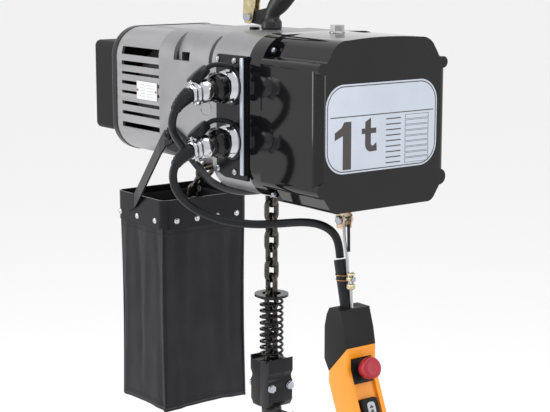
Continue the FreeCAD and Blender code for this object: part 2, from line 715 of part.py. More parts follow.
def make_chain_guide():
    guide = block(-20, -18, 41, 20, 50, 118)
    guide = guide.fuse([block(-66, 46, 42, -20, 83, 92), block(-20, 46, 60, 20, 83, 118)])
    plate = block(-27, -32, 92, -20, 74, 212)
    guide = guide.fuse(plate)
    guide = guide.cut(rod(47.5, (-14, WHEEL_Y, AXIS_Z), (14, WHEEL_Y, AXIS_Z)))
    guide = guide.cut(rod(14, (-40, WHEEL_Y, AXIS_Z), (-10, WHEEL_Y, AXIS_Z)))
    guide = guide.cut(rod(12, (-40, LAY_Y, LAY_Z), (-10, LAY_Y, LAY_Z)))
    guide = guide.cut(block(-13.5, -13.5, 20, 13.5, 13.5, 130))
    guide = guide.cut(block(-80, SLACK_Y - 13.5, 44, 13.5, SLACK_Y + 13.5, 100))
    guide = guide.cut(block(-80, SLACK_Y - 13.5, 38, -46, SLACK_Y + 13.5, 60))
    guide = guide.cut(block(-13.5, SLACK_Y - 13.5, 44, 13.5, SLACK_Y + 13.5, 160))
    chute = block(-44, -18, 31, 44, 18, 58).cut(block(-45, -16, 33, 45, 16, 70))
    chute.rotate(Vector(), UP, 24)
    chute.translate(Vector(-118, 48, 0))
    chute = chute.cut(block(-66.2, 40, 20, 0, 90, 100))
    ears = []
    for y in (-9, 6.4):
        ears.append(block(56, y, 28, 64, y + 2.6, 41).cut(rod(2.05, (60, y - 1, 32), (60, y + 4, 32))))
    feature("chain_guide", [guide.removeSplitter(), chute] + ears)
    holder = block(-34, -30, 214, 33.5, 30, 240).cut(rod(11.06, (0, 0, 210), (0, 0, 245)))
    feature("suspension_block", holder)
    lever = block(-20, -17, 30, 20, 17, 34).cut(block(-14, -14, 29, 14, 14, 35))
    lever = lever.fuse([block(18, -6, 30, 60, 6, 34), rod(2, (60, -9, 32), (60, 9, 32))])
    feature("limit_lever", lever.removeSplitter())


# ---------------------------------------------------------------- hook block, buffer

def make_hook_block():
    half, top, low = size("block_half"), size("block_top"), size("block_low")
    section = outline((-half, low + 8), (-half + 5, low), (half - 5, low), (half, low + 8), (half, -236),
                      (half - 2.5, -231, half - 2.5, -228), (half + 1, -222), (half + 1, top + 5),
                      (half - 4, top), (-half + 4, top), (-half - 1, top + 5), (-half - 1, -222),
                      (-half + 2.5, -228), (-half + 2.5, -231, -half, -236))
    whole = standing(section, -half, 2 * half)
    hollow = [rod(15.2, (0, 0, -239), (0, 0, -231)), rod(11.06, (0, 0, low - 1), (0, 0, -238)),
              block(-13.2, -4.2, -226, 13.2, 4.2, top + 1), block(-4.2, -13.2, -226, 4.2, 13.2, top + 1)]
    for side in (-1, 1):
        hollow.append(rod(4, (-30, side * 15.6, -243), (30, side * 15.6, -243)))
    for tool in hollow:
        whole = whole.cut(tool)
    left = whole.common(block(-60, -60, -300, -0.15, 60, -200))
    right = whole.common(block(0.15, -60, -300, 60, 60, -200))
    feature("hook_block", [left, right])
    bolts = []
    for side in (-1, 1):
        y = side * 15.6
        shank = rod(3.95, (-half, y, -243), (half, y, -243))
        bolts.append(shank.fuse([hexagon(9.5, 4, (half, y, -243), (1, 0, 0)),
                                 hexagon(9.5, 4, (-half, y, -243), (-1, 0, 0))]))
    feature("block_bolts", bolts)
    plate = ring(13, 23.5, (0, 0, -117), (0, 0, -113.5)).fuse(ring(13, 16.5, (0, 0, -120), (0, 0, -117)))
    feature("buffer_plate", plate.removeSplitter())
    wire, mean = size("spring_wire"), size("spring_radius")
    tall = size("spring_top") - size("spring_low") - wire - 0.6
    helix = Part.makeHelix(tall / 9.5, tall, mean)
    section = Part.Wire(Part.makeCircle(wire / 2, Vector(mean, 0, 0), Vector(0, 1, 0)))
    spring = Part.Wire(helix).makePipeShell([section], True, True)
    spring.translate(Vector(0, 0, size("spring_low") + wire / 2 + 0.3))
    feature("buffer_spring", spring)


# ---------------------------------------------------------------- chain bag

def bag_section(inset, corner):
    return rounded(size("bag_left") + inset, -size("bag_half") + inset,
                   size("bag_right") - inset, size("bag_half") - inset, corner)


def make_bag():
    left, right, half, wall = size("bag_left"), size("bag_right"), size("bag_half"), size("rim_wall")
    rim = new_body("bag_rim")
    pad(rim, sketch(rim, "XY_Plane", "-Sizes.rim_height", bag_section(0, 12)), "Sizes.rim_height")
    pocket(rim, sketch(rim, "XY_Plane", 1, bag_section(wall, 9.5)), 60)
    bag = new_body("bag_fabric")
    inset = wall + 0.1
    pad(bag, sketch(bag, "XY_Plane", "Sizes.bag_low", bag_section(inset, 9.6)), "-8 - Sizes.bag_low")
    inset += size("bag_wall")
    pocket(bag, sketch(bag, "XY_Plane", -7, bag_section(inset, 6)), "-10 - Sizes.bag_low")
    rivets = []
    dome = [(0.02, 0), (0.02, 3.6), (1.2, 2.8), (2, 0)]
    for side in (-1, 1):
        for x in (-274, -227, -179):
            rivets.append(turned(dome, (x, side * half, -31), (0, side, 0)))
        face = right if side > 0 else left
        for y in (-51, -16, 19, 54):
            rivets.append(turned(dome, (face, y, -31), (side, 0, 0)))
    feature("bag_rivets", rivets)
    straps = []
    for side in (-1, 1):
        sections = []
        for x, y, z0, z1 in ((-80, 106.4, 96, 114), (-99, 106.4, 88, 111), (-118, 103, 73, 95),
                             (-214, 79.4, -6, 16), (-229, 76.7, -19, 3), (-247, 76.7, -27, -6)):
            inner, outer = side * (y - 1.5), side * (y + 1.5)
            corners = [(x, inner, z0), (x, outer, z0), (x, outer, z1), (x, inner, z1), (x, inner, z0)]
            sections.append(Part.makePolygon([Vector(*c) for c in corners]))
        strap = Part.makeLoft(sections, True, True)
        straps.append(strap.cut(rod(4.05, (-90, side * 90, 105), (-90, side * 120, 105))))
    feature("bag_straps", straps)


# ---------------------------------------------------------------- electrics

def make_sockets():
    droop = Vector(0, -math.cos(math.radians(7)), -math.sin(math.radians(7)))
    sockets, plugs, boots = [], [], []
    for z in (183, 113):
        foot = Vector(58, -104, z)
        flange = ring(9, 24, (58, -106.6, z), (58, -109, z))
        sockets.append(flange.fuse([ring(9, 20, (58, -109, z), (58, -119, z)),
                                    ring(9, 17, (58, -104.05, z), (58, -106.6, z)),
                                    ring(9, 11.9, (58, -80, z), (58, -104.05, z))]).removeSplitter())
        start = Vector(58, -119.2, z)
        plugs.append(turned([(3, 0), (3, 22), (14, 22), (16, 15), (30, 15), (32, 13.5), (44, 13.5),
                             (46, 11), (52, 11), (52, 0)], start, droop))
        leave = Vector(0, -15.7, -8.6 if z < 150 else -9.57).normalize()
        boot = turned([(-1, 0), (-1, 10.5), (4, 10), (11, 8), (11, 0)], start + droop * 52, leave)
        bore = Part.makeCylinder(size("cable_radius") + 0.1, 40, start + droop * 52 - leave * 10, leave)
        boots.append(boot.cut([plugs[-1], bore]))
    feature("receptacles", sockets)
    feature("cable_plugs", plugs)
    feature("plug_boots", boots)


def make_control_gear():
    shapes = [block(96, -70, 60, 100, 70, 225), block(100.1, -60, 160, 160, -8, 215),
              block(100.1, 4, 160, 160, 56, 215), block(100.1, -60, 70, 170, 10, 140),
              block(100.1, 20, 75, 130, 62, 135)]
    return feature("control_gear", shapes)


CABLE_Y = -40


def make_pendant():
    hood_edges = outline((198, -92), (203, -83), (226, -83), (234, -108), (238, -128), (203, -164),
                         (194, -150), (194, -108))
    hood = standing(hood_edges, CABLE_Y - 23, 46)
    hood = hood.cut(Part.makeCylinder(8.25, 67, Vector(196, CABLE_Y, -26), Vector(15, 0, -64)))
    grip_edges = outline((238.1, -128.3), (238.1, -155), (282, -264), (278, -276), (250, -280),
                         (244, -276), (203, -178), (203.1, -164.3))
    grip = standing(grip_edges, CABLE_Y - 23, 46)
    along = Vector(44, 0, -109).normalize()
    out = Vector(109, 0, 44).normalize()
    stop_at = Vector(238.1, CABLE_Y, -155) + along * 4
    grip = grip.cut(slab(stop_at - along * 16 - out * 5, along, out, 140, 33, 30))
    seats = []
    for k, distance in enumerate((48, 88)):
        seats.append(stop_at + along * distance - out * 5)
    for seat in seats:
        grip = grip.cut(slab(seat - along * 13 - out * 9, along, out, 26, 26, 20))
    grip = grip.cut(Part.makeCylinder(7.2, 24, stop_at - out * 20, out))
    feature("pendant_grip", grip)
    base = slab(stop_at - along * 15.5 - out * 4.9, along, out, 31, 31, 3)
    base = base.cut(Part.makeCylinder(7.2, 24, stop_at - out * 20, out))
    feature("pendant_hood", [hood.removeSplitter(), base])
    button = Part.makeCylinder(6.9, 14, stop_at - out * 14, out)
    mushroom = [(0, 0), (0, 10), (4, 12.5), (12, 14), (17, 12.5), (18, 0)]
    button = button.fuse(turned(mushroom, stop_at + out * 7, out))
    button = button.fuse(Part.makeCylinder(6.9, 9, stop_at - out * 1, out))
    feature("estop_button", button.removeSplitter())
    for node, seat in zip(("up_button", "down_button"), seats):
        feature(node, slab(seat - along * 12.7 - out * 5, along, out, 25.4, 25.4, 12))
    sleeve = Part.makeCylinder(8.2, 66, Vector(196, CABLE_Y, -26), Vector(15, 0, -64))
    feature("strain_sleeve", sleeve)
    clip = block(213.2, CABLE_Y - 5, -60, 221, CABLE_Y + 5, -40)
    feature("rope_clip", clip)


def slab(centre_start, along, out, length, width, height):
    """A box of length along one direction, width across Y and height along the third."""
    box = Part.makeBox(length, width, height)
    side = out.cross(along)
    frame = FreeCAD.Matrix(along.x, side.x, out.x, 0, along.y, side.y, out.y, 0,
                           along.z, side.z, out.z, 0, 0, 0, 0, 1)
    box.Placement = Placement(frame)
    box.translate(centre_start - side * (width / 2))
    return box


def make_cords():
    eye = block(196, CABLE_Y - 8, 16, 210, CABLE_Y - 5, 40).fuse(
        [block(196, CABLE_Y + 5, 16, 210, CABLE_Y + 8, 40),
         block(196, CABLE_Y - 8, 36, 210, CABLE_Y + 8, 40)])
    eye = eye.cut(rod(3, (203, CABLE_Y - 20, 26), (203, CABLE_Y + 20, 26))).removeSplitter()
    pin = rod(3, (203, CABLE_Y - 8, 26), (203, CABLE_Y + 8, 26)).fuse(
        [rod(5, (203, CABLE_Y - 11, 26), (203, CABLE_Y - 8, 26)),
         rod(5, (203, CABLE_Y + 8, 26), (203, CABLE_Y + 11, 26))])
    feature("rope_eye", [eye, pin])
    wire = tube([(203, CABLE_Y, 22.8), (203, CABLE_Y, 8), (206, CABLE_Y, -8), (210, CABLE_Y, -24),
                 (211, CABLE_Y, -42)], size("wire_radius"), "strain wire")
    feature("strain_wire", wire)
    lower = [(58, -172.8, 105.6), (58, -188.5, 97), (58, -197.5, 81), (58, -195, 63), (57, -184, 47),
             (61, -170, 34), (70, -156, 25), (80, -141, 18), (92, -125, 14), (106, -107, 12),
             (122, -90, 13), (140, -78, 16), (160, -68, 19), (178, -58, 18), (190, -48, 10),
             (194.6, -41, -5), (195.6, -40, -23.6)]
    feature("control_cable", tube(lower, size("cable_radius"), "control cable"))
    upper = [(58, -172.8, 175.6), (58, -185.6, 167.8), (54.5, -192.8, 153), (48.5, -191.5, 137.5),
             (41, -182, 124), (33, -168, 111), (25, -153, 98), (16.5, -138, 85.5), (7, -123, 74),
             (-5, -107, 62), (-17, -90, 50), (-27, -70, 40), (-36, -49, 32), (-46, -26, 25),
             (-54, -2, 21), (-60, 24, 19), (-68, 49, 17.5), (-80, 72, 19.5), (-94, 92, 30),
             (-104, 109, 49), (-109, 119, 72), (-110, 122, 96), (-106, 123, 120), (-99, 123, 143)]
    feature("power_cable", tube(upper, size("cable_radius"), "power cable"))
    feature("power_coil", ring(47, 68, (-40, 112.5, 172), (-40, 133.5, 172)))
    plug = turned([(0, 0), (0, 5.4), (16, 7.5), (26, 7.5), (27, 15), (52, 17), (54, 22), (92, 22), (92, 19),
                   (70, 19), (70, 0)], (-10, 123, 109.3), (1, 0, 0))
    for k in range(3):
        angle = math.radians(120 * k)
        y, z = 123 + 10 * math.cos(angle), 109.3 + 10 * math.sin(angle)
        plug = plug.fuse(rod(2.5, (59, y, z), (80, y, z)))
    feature("power_plug", plug.removeSplitter())


# ---------------------------------------------------------------- build, check, write

make_middle_frame()
make_gear_case()
make_motor_shell()
make_motor_end_ring()
make_fan_cover()
make_control_cover()
make_connector_plate()
make_nameplates()
make_fasteners()
make_bag_brackets()
make_hooks()
make_drive()
make_motor()
make_chain()
make_chain_guide()
make_hook_block()
make_bag()
make_sockets()
make_control_gear()
make_pendant()
make_cords()

doc.recompute()
for item in doc.Objects:
    if "Invalid" in item.State or "Error" in item.State:
        raise RuntimeError(f"{item.Label} is in state {item.State}")
for piece in PIECES:
    if piece.Shape.isNull() or not piece.Shape.isValid() or not piece.Shape.Solids:
        raise RuntimeError(f"{piece.Label} has no valid solid")

os.makedirs("parts", exist_ok=True)
for piece in PIECES:
    piece.Shape.exportStep(f"parts/{piece.Label}.step")
print(f"{len(PIECES)} pieces written")
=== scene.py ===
import math

import bmesh
import bpy
from mathutils import Matrix, Vector, noise


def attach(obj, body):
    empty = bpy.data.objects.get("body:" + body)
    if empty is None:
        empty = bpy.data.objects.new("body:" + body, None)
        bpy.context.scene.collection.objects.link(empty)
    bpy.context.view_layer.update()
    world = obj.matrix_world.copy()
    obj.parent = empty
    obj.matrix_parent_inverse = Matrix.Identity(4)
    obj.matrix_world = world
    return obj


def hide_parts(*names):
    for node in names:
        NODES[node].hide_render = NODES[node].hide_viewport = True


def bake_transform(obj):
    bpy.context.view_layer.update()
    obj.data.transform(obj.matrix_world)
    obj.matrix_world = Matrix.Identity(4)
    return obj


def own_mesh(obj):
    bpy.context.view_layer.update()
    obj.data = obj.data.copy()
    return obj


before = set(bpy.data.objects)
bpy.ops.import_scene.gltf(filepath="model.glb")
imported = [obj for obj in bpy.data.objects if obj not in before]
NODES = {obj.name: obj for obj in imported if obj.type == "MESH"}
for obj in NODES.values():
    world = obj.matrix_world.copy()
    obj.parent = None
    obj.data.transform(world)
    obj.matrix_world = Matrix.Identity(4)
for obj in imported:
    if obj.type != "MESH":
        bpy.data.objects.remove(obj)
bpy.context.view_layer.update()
SCENE = bpy.context.scene
SCENE.view_settings.view_transform = "Standard"

# Positions are written as part of the hoist's own layout: millimetres from the load chain's line,
# with X along the motor, Y away from the cable sockets and Z up. The hook saddle is SADDLE above it.
SADDLE = 348.0
CABLE_Y = -40.0
TAU = 2 * math.pi


def at(x, y, z):
    return Vector((x / 1000, y / 1000, (z - SADDLE) / 1000))


def mm(value):
    return value / 1000


# ---------------------------------------------------------------- camera and cords

def make_camera():
    data = bpy.data.cameras.new("camera")
    data.lens = 95.3
    data.sensor_width = 36
    data.clip_end = 50
    camera = bpy.data.objects.new("camera", data)
    camera.location = (1.5617, -1.1709, 0.0186)
    camera.rotation_euler = (math.radians(90 - 10.4), 0, math.radians(53))
    SCENE.collection.objects.link(camera)
    SCENE.camera = camera


def link(obj, body, *replaced, slot=None):
    """Put a piece in the scene on a body, in place of the CAD nodes it stands for."""
    if obj.name not in SCENE.collection.objects:
        SCENE.collection.objects.link(obj)
    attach(obj, body)
    if replaced:
        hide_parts(*replaced)
    return obj


def nurbs(name, points, radius, resolution=10):
    """A cord's smooth line through its route's control points, in millimetres."""
    curve = bpy.data.curves.new(name, "CURVE")
    curve.dimensions = "3D"
    spline = curve.splines.new("NURBS")
    spline.points.add(len(points) - 1)
    for point, place in zip(spline.points, points):
        point.co = (*at(*place), 1)
    spline.order_u = 3
    spline.use_endpoint_u = True
    curve.resolution_u = resolution
    curve.bevel_depth = mm(radius)
    curve.bevel_resolution = 6
    curve.use_fill_caps = True
    return bpy.data.objects.new(name, curve)


def line_points(points, resolution=10):
    """Points along the smooth line of a route, with no bevel."""
    probe = nurbs("probe", points, 0, resolution)
    SCENE.collection.objects.link(probe)
    mesh = bpy.data.meshes.new_from_object(probe)
    places = [v.co.copy() for v in mesh.vertices]
    bpy.data.objects.remove(probe)
    bpy.data.meshes.remove(mesh)
    return places


def new_mesh(name, verts, faces, smooth=True):
    mesh = bpy.data.meshes.new(name)
    mesh.from_pydata([tuple(v) for v in verts], [], faces)
    mesh.validate()
    bm = bmesh.new()
    bm.from_mesh(mesh)
    bmesh.ops.recalc_face_normals(bm, faces=bm.faces)
    bm.to_mesh(mesh)
    bm.free()
    for polygon in mesh.polygons:
        polygon.use_smooth = smooth
    return bpy.data.objects.new(name, mesh)


def tube_mesh(name, places, radius, sides=18):
    """A round tube along places (metres); radius is one value or one for each place (metres)."""
    verts, faces = [], []
    radii = radius if isinstance(radius, list) else [radius] * len(places)
    normal = None
    for i, place in enumerate(places):
        ahead = (places[min(i + 1, len(places) - 1)] - places[max(i - 1, 0)]).normalized()
        if normal is None:
            normal = ahead.orthogonal().normalized()
        normal = (normal - ahead * normal.dot(ahead)).normalized()
        side = ahead.cross(normal)
        for k in range(sides):
            angle = TAU * k / sides
            verts.append(place + (normal * math.cos(angle) + side * math.sin(angle)) * radii[i])
    for i in range(len(places) - 1):
        for k in range(sides):
            a, b = i * sides + k, i * sides + (k + 1) % sides
            faces.append((a, b, b + sides, a + sides))
    faces.append(tuple(range(sides)))
    faces.append(tuple(len(verts) - sides + k for k in range(sides)))
    return new_mesh(name, verts, faces)


CORD_RADIUS = 5.2
CONTROL_ROUTE = [
    (58, -172.8, 105.6), (58, -188.5, 97), (58, -197.5, 81), (58, -195, 63), (57, -184, 47), (61, -170, 34),
    (70, -156, 25), (80, -141, 18), (92, -125, 14), (106, -107, 12), (122, -90, 13), (140, -78, 16),
    (160, -68, 19), (178, -58, 18), (190, -48, 10), (194.6, -41, -5), (195.6, -40, -23.6)]
POWER_ROUTE = [
    (58, -172.8, 175.6), (58, -185.6, 167.8), (54.5, -192.8, 153), (48.5, -191.5, 137.5), (41, -182, 124),
    (33, -168, 111), (25, -153, 98), (16.5, -138, 85.5), (7, -123, 74), (-5, -107, 62), (-17, -90, 50),
    (-27, -70, 40), (-36, -49, 32), (-46, -26, 25), (-54, -2, 21), (-60, 24, 19),
    (-68, 49, 17.5), (-80, 72, 19.5), (-94, 92, 30), (-104, 109, 49), (-109, 119, 72),
    (-110, 122, 96), (-106, 123, 120), (-99, 123, 143)]
WIRE_ROUTE = [(203, CABLE_Y, 22.8), (203, CABLE_Y, 8), (206, CABLE_Y, -8), (210, CABLE_Y, -24),
              (211, CABLE_Y, -42)]
COIL_CENTRE = (-40, 172)


def coil_points():
    """The put-away length: four turns, side by side, ending in the plug at the bottom."""
    points = []
    per_turn = 16
    start = math.radians(196)
    for turn, (radius, y) in enumerate(((56.5, 128.0), (57.0, 117.8), (62.4, 127.9))):
        for k in range(per_turn):
            angle = start - TAU * k / per_turn
            blend = k / per_turn
            nxt = ((57.0, 117.8), (62.4, 127.9), (62.4, 118.5))[turn]
            r = radius + (nxt[0] - radius) * blend
            points.append((COIL_CENTRE[0] + r * math.cos(angle), y + (nxt[1] - y) * blend,
                           COIL_CENTRE[1] + r * math.sin(angle)))
    for k in range(14):
        angle = start - TAU * k / 15.2
        points.append((COIL_CENTRE[0] + 62.4 * math.cos(angle), 118.5 + 4.2 * k / 13,
                       COIL_CENTRE[1] + 62.4 * math.sin(angle)))
    points += [(-30, 123, 109.6), (-14, 123, 109.3), (-6, 123, 109.3)]
    return points


def make_cords():
    places = line_points(CONTROL_ROUTE)
    control = tube_mesh("control_cable_line", places, mm(CORD_RADIUS), 24)
    SCENE.collection.objects.link(control)
    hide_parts("control_cable")
    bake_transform(control)
    route = POWER_ROUTE + coil_points()
    places = line_points(route)
    supply = link(tube_mesh("supply_cable", places, mm(CORD_RADIUS), 20), "housing", "power_cable",
                  "power_coil", slot="rubber")
    places = line_points(WIRE_ROUTE)
    wire = link(tube_mesh("strain_rope", places, mm(1.9), 12), "pendant", "strain_wire", slot="steel")
    return control, supply, wire


make_camera()
control_cable, supply_cable, strain_rope = make_cords()


# ---------------------------------------------------------------- materials

def material(name, colour, rough, metal=0.0, vary=0.12, grain=90.0, rough_vary=0.07, bump=0.08,
             bump_scale=900.0, depth=0.0001, coat=0.0, coat_rough=0.05, stretch=(1, 1, 1), sheen=0.0,
             second=None, mirror=0.5):
    """A finish with uneven colour, uneven roughness and a fine surface grain."""
    made = bpy.data.materials.new(name)
    made.use_nodes = True
    tree = made.node_tree
    nodes, links = tree.nodes, tree.links
    shader = nodes["Principled BSDF"]
    shader.inputs["Metallic"].default_value = metal
    shader.inputs["Coat Weight"].default_value = coat
    shader.inputs["Coat Roughness"].default_value = coat_rough
    shader.inputs["Sheen Weight"].default_value = sheen
    shader.inputs["Specular IOR Level"].default_value = mirror
    place = nodes.new("ShaderNodeTexCoord")
    scale = nodes.new("ShaderNodeMapping")
    scale.inputs["Scale"].default_value = stretch
    links.new(place.outputs["Object"], scale.inputs["Vector"])
    clouds = nodes.new("ShaderNodeTexNoise")
    clouds.inputs["Scale"].default_value = grain
    clouds.inputs["Detail"].default_value = 5
    links.new(scale.outputs["Vector"], clouds.inputs["Vector"])
    ramp = nodes.new("ShaderNodeValToRGB")
    darker = [c * (1 - vary) for c in colour]
    lighter = [min(1.0, c * (1 + vary)) for c in colour] if second is None else second
    ramp.color_ramp.elements[0].position = 0.3
    ramp.color_ramp.elements[0].color = (*darker, 1)
    ramp.color_ramp.elements[1].position = 0.7
    ramp.color_ramp.elements[1].color = (*lighter, 1)
    links.new(clouds.outputs["Fac"], ramp.inputs["Fac"])
    links.new(ramp.outputs["Color"], shader.inputs["Base Color"])
    gloss = nodes.new("ShaderNodeMapRange")
    gloss.inputs["To Min"].default_value = max(0.02, rough - rough_vary)
    gloss.inputs["To Max"].default_value = min(1.0, rough + rough_vary)
    links.new(clouds.outputs["Fac"], gloss.inputs["Value"])
    links.new(gloss.outputs["Result"], shader.inputs["Roughness"])
    fine = nodes.new("ShaderNodeTexNoise")
    fine.inputs["Scale"].default_value = bump_scale
    fine.inputs["Detail"].default_value = 3
    links.new(scale.outputs["Vector"], fine.inputs["Vector"])
    relief = nodes.new("ShaderNodeBump")
    relief.inputs["Strength"].default_value = bump
    relief.inputs["Distance"].default_value = depth
    links.new(fine.outputs["Fac"], relief.inputs["Height"])
    links.new(relief.outputs["Normal"], shader.inputs["Normal"])
    return made


def weave_material():
    """Black woven polyester: a fine diagonal weave, faint dust and a soft sheen."""
    made = material("woven_polyester", (0.022, 0.022, 0.025), 0.72, vary=0.25, grain=14, bump=0.0, sheen=0.05,
                    mirror=0.22)
    tree = made.node_tree
    nodes, links = tree.nodes, tree.links
    shader = nodes["Principled BSDF"]
    place = nodes.new("ShaderNodeTexCoord")
    threads = []
    for turn in (0.9, -0.9):
        mapping = nodes.new("ShaderNodeMapping")
        mapping.inputs["Rotation"].default_value = (turn, turn, 0)
        links.new(place.outputs["Object"], mapping.inputs["Vector"])
        wave = nodes.new("ShaderNodeTexWave")
        wave.inputs["Scale"].default_value = 150
        wave.inputs["Distortion"].default_value = 1.2
        wave.inputs["Detail"].default_value = 1
        links.new(mapping.outputs["Vector"], wave.inputs["Vector"])
        threads.append(wave)
    both = nodes.new("ShaderNodeMath")
    both.operation = "MULTIPLY"
    links.new(threads[0].outputs["Fac"], both.inputs[0])
    links.new(threads[1].outputs["Fac"], both.inputs[1])
    relief = nodes.new("ShaderNodeBump")
    relief.inputs["Strength"].default_value = 0.5
    relief.inputs["Distance"].default_value = 0.0004
    links.new(both.outputs["Value"], relief.inputs["Height"])
    links.new(relief.outputs["Normal"], shader.inputs["Normal"])
    return made


GREY = material("grey_metallic_paint", (0.30, 0.30, 0.31), 0.36, metal=0.75, vary=0.06, grain=30,
                bump=0.12, bump_scale=1800, depth=0.00005)
GREY_SHELL = material("brushed_grey_paint", (0.36, 0.36, 0.37), 0.34, metal=0.75, vary=0.10, grain=60,
                      stretch=(0.15, 1, 1.5), bump=0.1, bump_scale=900, depth=0.00005)
GLOSS = material("black_gloss_paint", (0.006, 0.006, 0.007), 0.08, vary=0.2, grain=12, rough_vary=0.02,
                 bump=0.04, bump_scale=60, depth=0.0001, mirror=0.38)
SATIN = material("black_satin_paint", (0.008, 0.008, 0.010), 0.24, vary=0.15, grain=40, bump=0.12,
                 bump_scale=1500, mirror=0.22)
MATTE = material("black_powder_coat", (0.009, 0.009, 0.010), 0.55, vary=0.12, grain=60, bump=0.3,
                 bump_scale=2200, mirror=0.18)
PLASTIC = material("black_plastic", (0.009, 0.009, 0.010), 0.45, vary=0.1, grain=80, bump=0.25,
                   bump_scale=2600, mirror=0.18)
RUBBER = material("black_rubber", (0.008, 0.009, 0.011), 0.36, vary=0.2, grain=50, bump=0.08, bump_scale=1200,
                  mirror=0.25)
CHAIN = material("oiled_chain_steel", (0.075, 0.068, 0.06), 0.3, metal=0.9, vary=0.35, grain=160,
                 rough_vary=0.14, bump=0.35, bump_scale=700, depth=0.0002)
FORGED = material("black_forging", (0.016, 0.016, 0.017), 0.38, metal=0.2, vary=0.3, grain=70,
                  rough_vary=0.12, bump=0.5, bump_scale=260, depth=0.0003)
GOLD = material("yellow_zinc", (0.58, 0.44, 0.20), 0.26, metal=0.95, vary=0.18, grain=120,
                second=(0.70, 0.66, 0.45), rough_vary=0.1, bump=0.1)
PINK_GOLD = material("worn_yellow_zinc", (0.62, 0.44, 0.30), 0.3, metal=0.95, vary=0.15, grain=140,
                     second=(0.72, 0.60, 0.46), bump=0.15)
ZINC = material("bright_zinc", (0.42, 0.44, 0.48), 0.24, metal=0.95, vary=0.1, grain=150, bump=0.1)
CHROME = material("chrome_plate", (0.56, 0.57, 0.60), 0.12, metal=1.0, vary=0.06, grain=60, rough_vary=0.03,
                  bump=0.03)
STEEL = material("machined_steel", (0.45, 0.45, 0.46), 0.3, metal=0.95, vary=0.1, grain=120, bump=0.15)
CAST = material("cast_aluminium", (0.42, 0.42, 0.43), 0.55, metal=0.8, vary=0.12, grain=200, bump=0.5,
                bump_scale=500)
COPPER = material("enamelled_copper", (0.42, 0.10, 0.05), 0.4, metal=0.5, vary=0.3, grain=220, bump=0.5,
                  bump_scale=500)
LAMINATE = material("varnished_laminations", (0.16, 0.16, 0.17), 0.45, metal=0.6, vary=0.2, grain=150,
                    stretch=(8, 1, 1), bump=0.4)
AMBER = material("amber_plastic", (0.86, 0.30, 0.004), 0.36, vary=0.05, grain=40, rough_vary=0.05,
                 bump=0.12, bump_scale=1800, coat=0.15, coat_rough=0.3)
RED = material("red_plastic", (0.36, 0.008, 0.022), 0.38, vary=0.12, grain=50, bump=0.15, bump_scale=1600)
PLATE = material("silver_foil", (0.50, 0.55, 0.62), 0.34, metal=0.35, vary=0.04, grain=20, rough_vary=0.05,
                 bump=0.05, bump_scale=1500)
INK = material("brown_grey_ink", (0.045, 0.036, 0.034), 0.5, vary=0.1, grain=60, bump=0.05)
WHITE = material("white_label", (0.72, 0.72, 0.72), 0.45, vary=0.04, grain=60, bump=0.05)
GREY_MARK = material("grey_legend", (0.42, 0.44, 0.47), 0.4, vary=0.05, grain=60, bump=0.05)
CLOTH = weave_material()
THREAD = material("black_thread", (0.035, 0.035, 0.038), 0.7, vary=0.2, grain=300, bump=0.3)
CREAM = material("moulded_contactor", (0.42, 0.42, 0.40), 0.5, vary=0.06, grain=80, bump=0.2)
COPPER_WIRE = material("copper_tie_wire", (0.62, 0.32, 0.14), 0.28, metal=1.0, vary=0.1, grain=200, bump=0.05)

FINISH = {
    "top_hook": FORGED, "bottom_hook": FORGED, "top_latch": GOLD, "bottom_latch": GOLD,
    "top_latch_bolt": ZINC, "bottom_latch_bolt": ZINC, "top_hook_nut": STEEL, "bottom_hook_nut": STEEL,
    "thrust_bearing": STEEL, "suspension_block": STEEL, "motor_shell": GREY_SHELL, "motor_end_ring": GLOSS,
    "fan_cover": MATTE, "gear_case": GREY, "middle_frame": GREY, "connector_plate": SATIN,
    "control_cover": GLOSS, "stator_core": LAMINATE, "stator_windings": COPPER, "brake_magnet": STEEL,
    "shaft_bearings": STEEL, "chain_guide": CAST, "limit_lever": STEEL, "control_gear": CREAM,
    "bag_brackets": SATIN, "motor_shaft": STEEL, "rotor_core": LAMINATE, "cooling_fan": PLASTIC,
    "brake_disc": STEEL, "intermediate_gear": STEEL, "output_gear": STEEL, "load_wheel": STEEL,
    "load_chain": CHAIN, "slack_chain": CHAIN, "buffer_plate": GLOSS, "buffer_spring": SATIN,
    "bag_rim": SATIN, "bag_straps": SATIN, "strain_sleeve": RUBBER, "power_plug": PLASTIC,
    "plug_boots": RUBBER,
}


def paint(obj, *finishes):
    obj.data.materials.clear()
    for finish in finishes:
        obj.data.materials.append(finish)
    return obj


for node, finish in FINISH.items():
    for slot in NODES[node].material_slots:
        slot.material = finish
for cord in (control_cable, supply_cable):
    paint(cord, RUBBER)
paint(strain_rope, STEEL)


# ---------------------------------------------------------------- mesh helpers

def join(name, parts):
    """Several meshes as one piece, each keeping its own material."""
    verts, faces, owner, finishes = [], [], [], []
    for part in parts:
        finish = part.data.materials[0] if part.data.materials else None
        if finish not in finishes:
            finishes.append(finish)
        base = len(verts)
        verts.extend(part.matrix_basis @ v.co for v in part.data.vertices)
        for polygon in part.data.polygons:
            faces.append(tuple(base + i for i in polygon.vertices))
            owner.append((finishes.index(finish), polygon.use_smooth))
    mesh = bpy.data.meshes.new(name)
    mesh.from_pydata([tuple(v) for v in verts], [], faces)
    for finish in finishes:
        if finish:
            mesh.materials.append(finish)
    for polygon, (index, smooth) in zip(mesh.polygons, owner):
        polygon.material_index = index
        polygon.use_smooth = smooth
    for part in parts:
        bpy.data.objects.remove(part)
    return bpy.data.objects.new(name, mesh)


def baked(obj):
    """The object with its modifiers applied."""
    SCENE.collection.objects.link(obj)
    bpy.context.view_layer.update()
    evaluated = obj.evaluated_get(bpy.context.evaluated_depsgraph_get())
    mesh = bpy.data.meshes.new_from_object(evaluated)
    obj.modifiers.clear()
    obj.data = mesh
    SCENE.collection.objects.unlink(obj)
    return obj


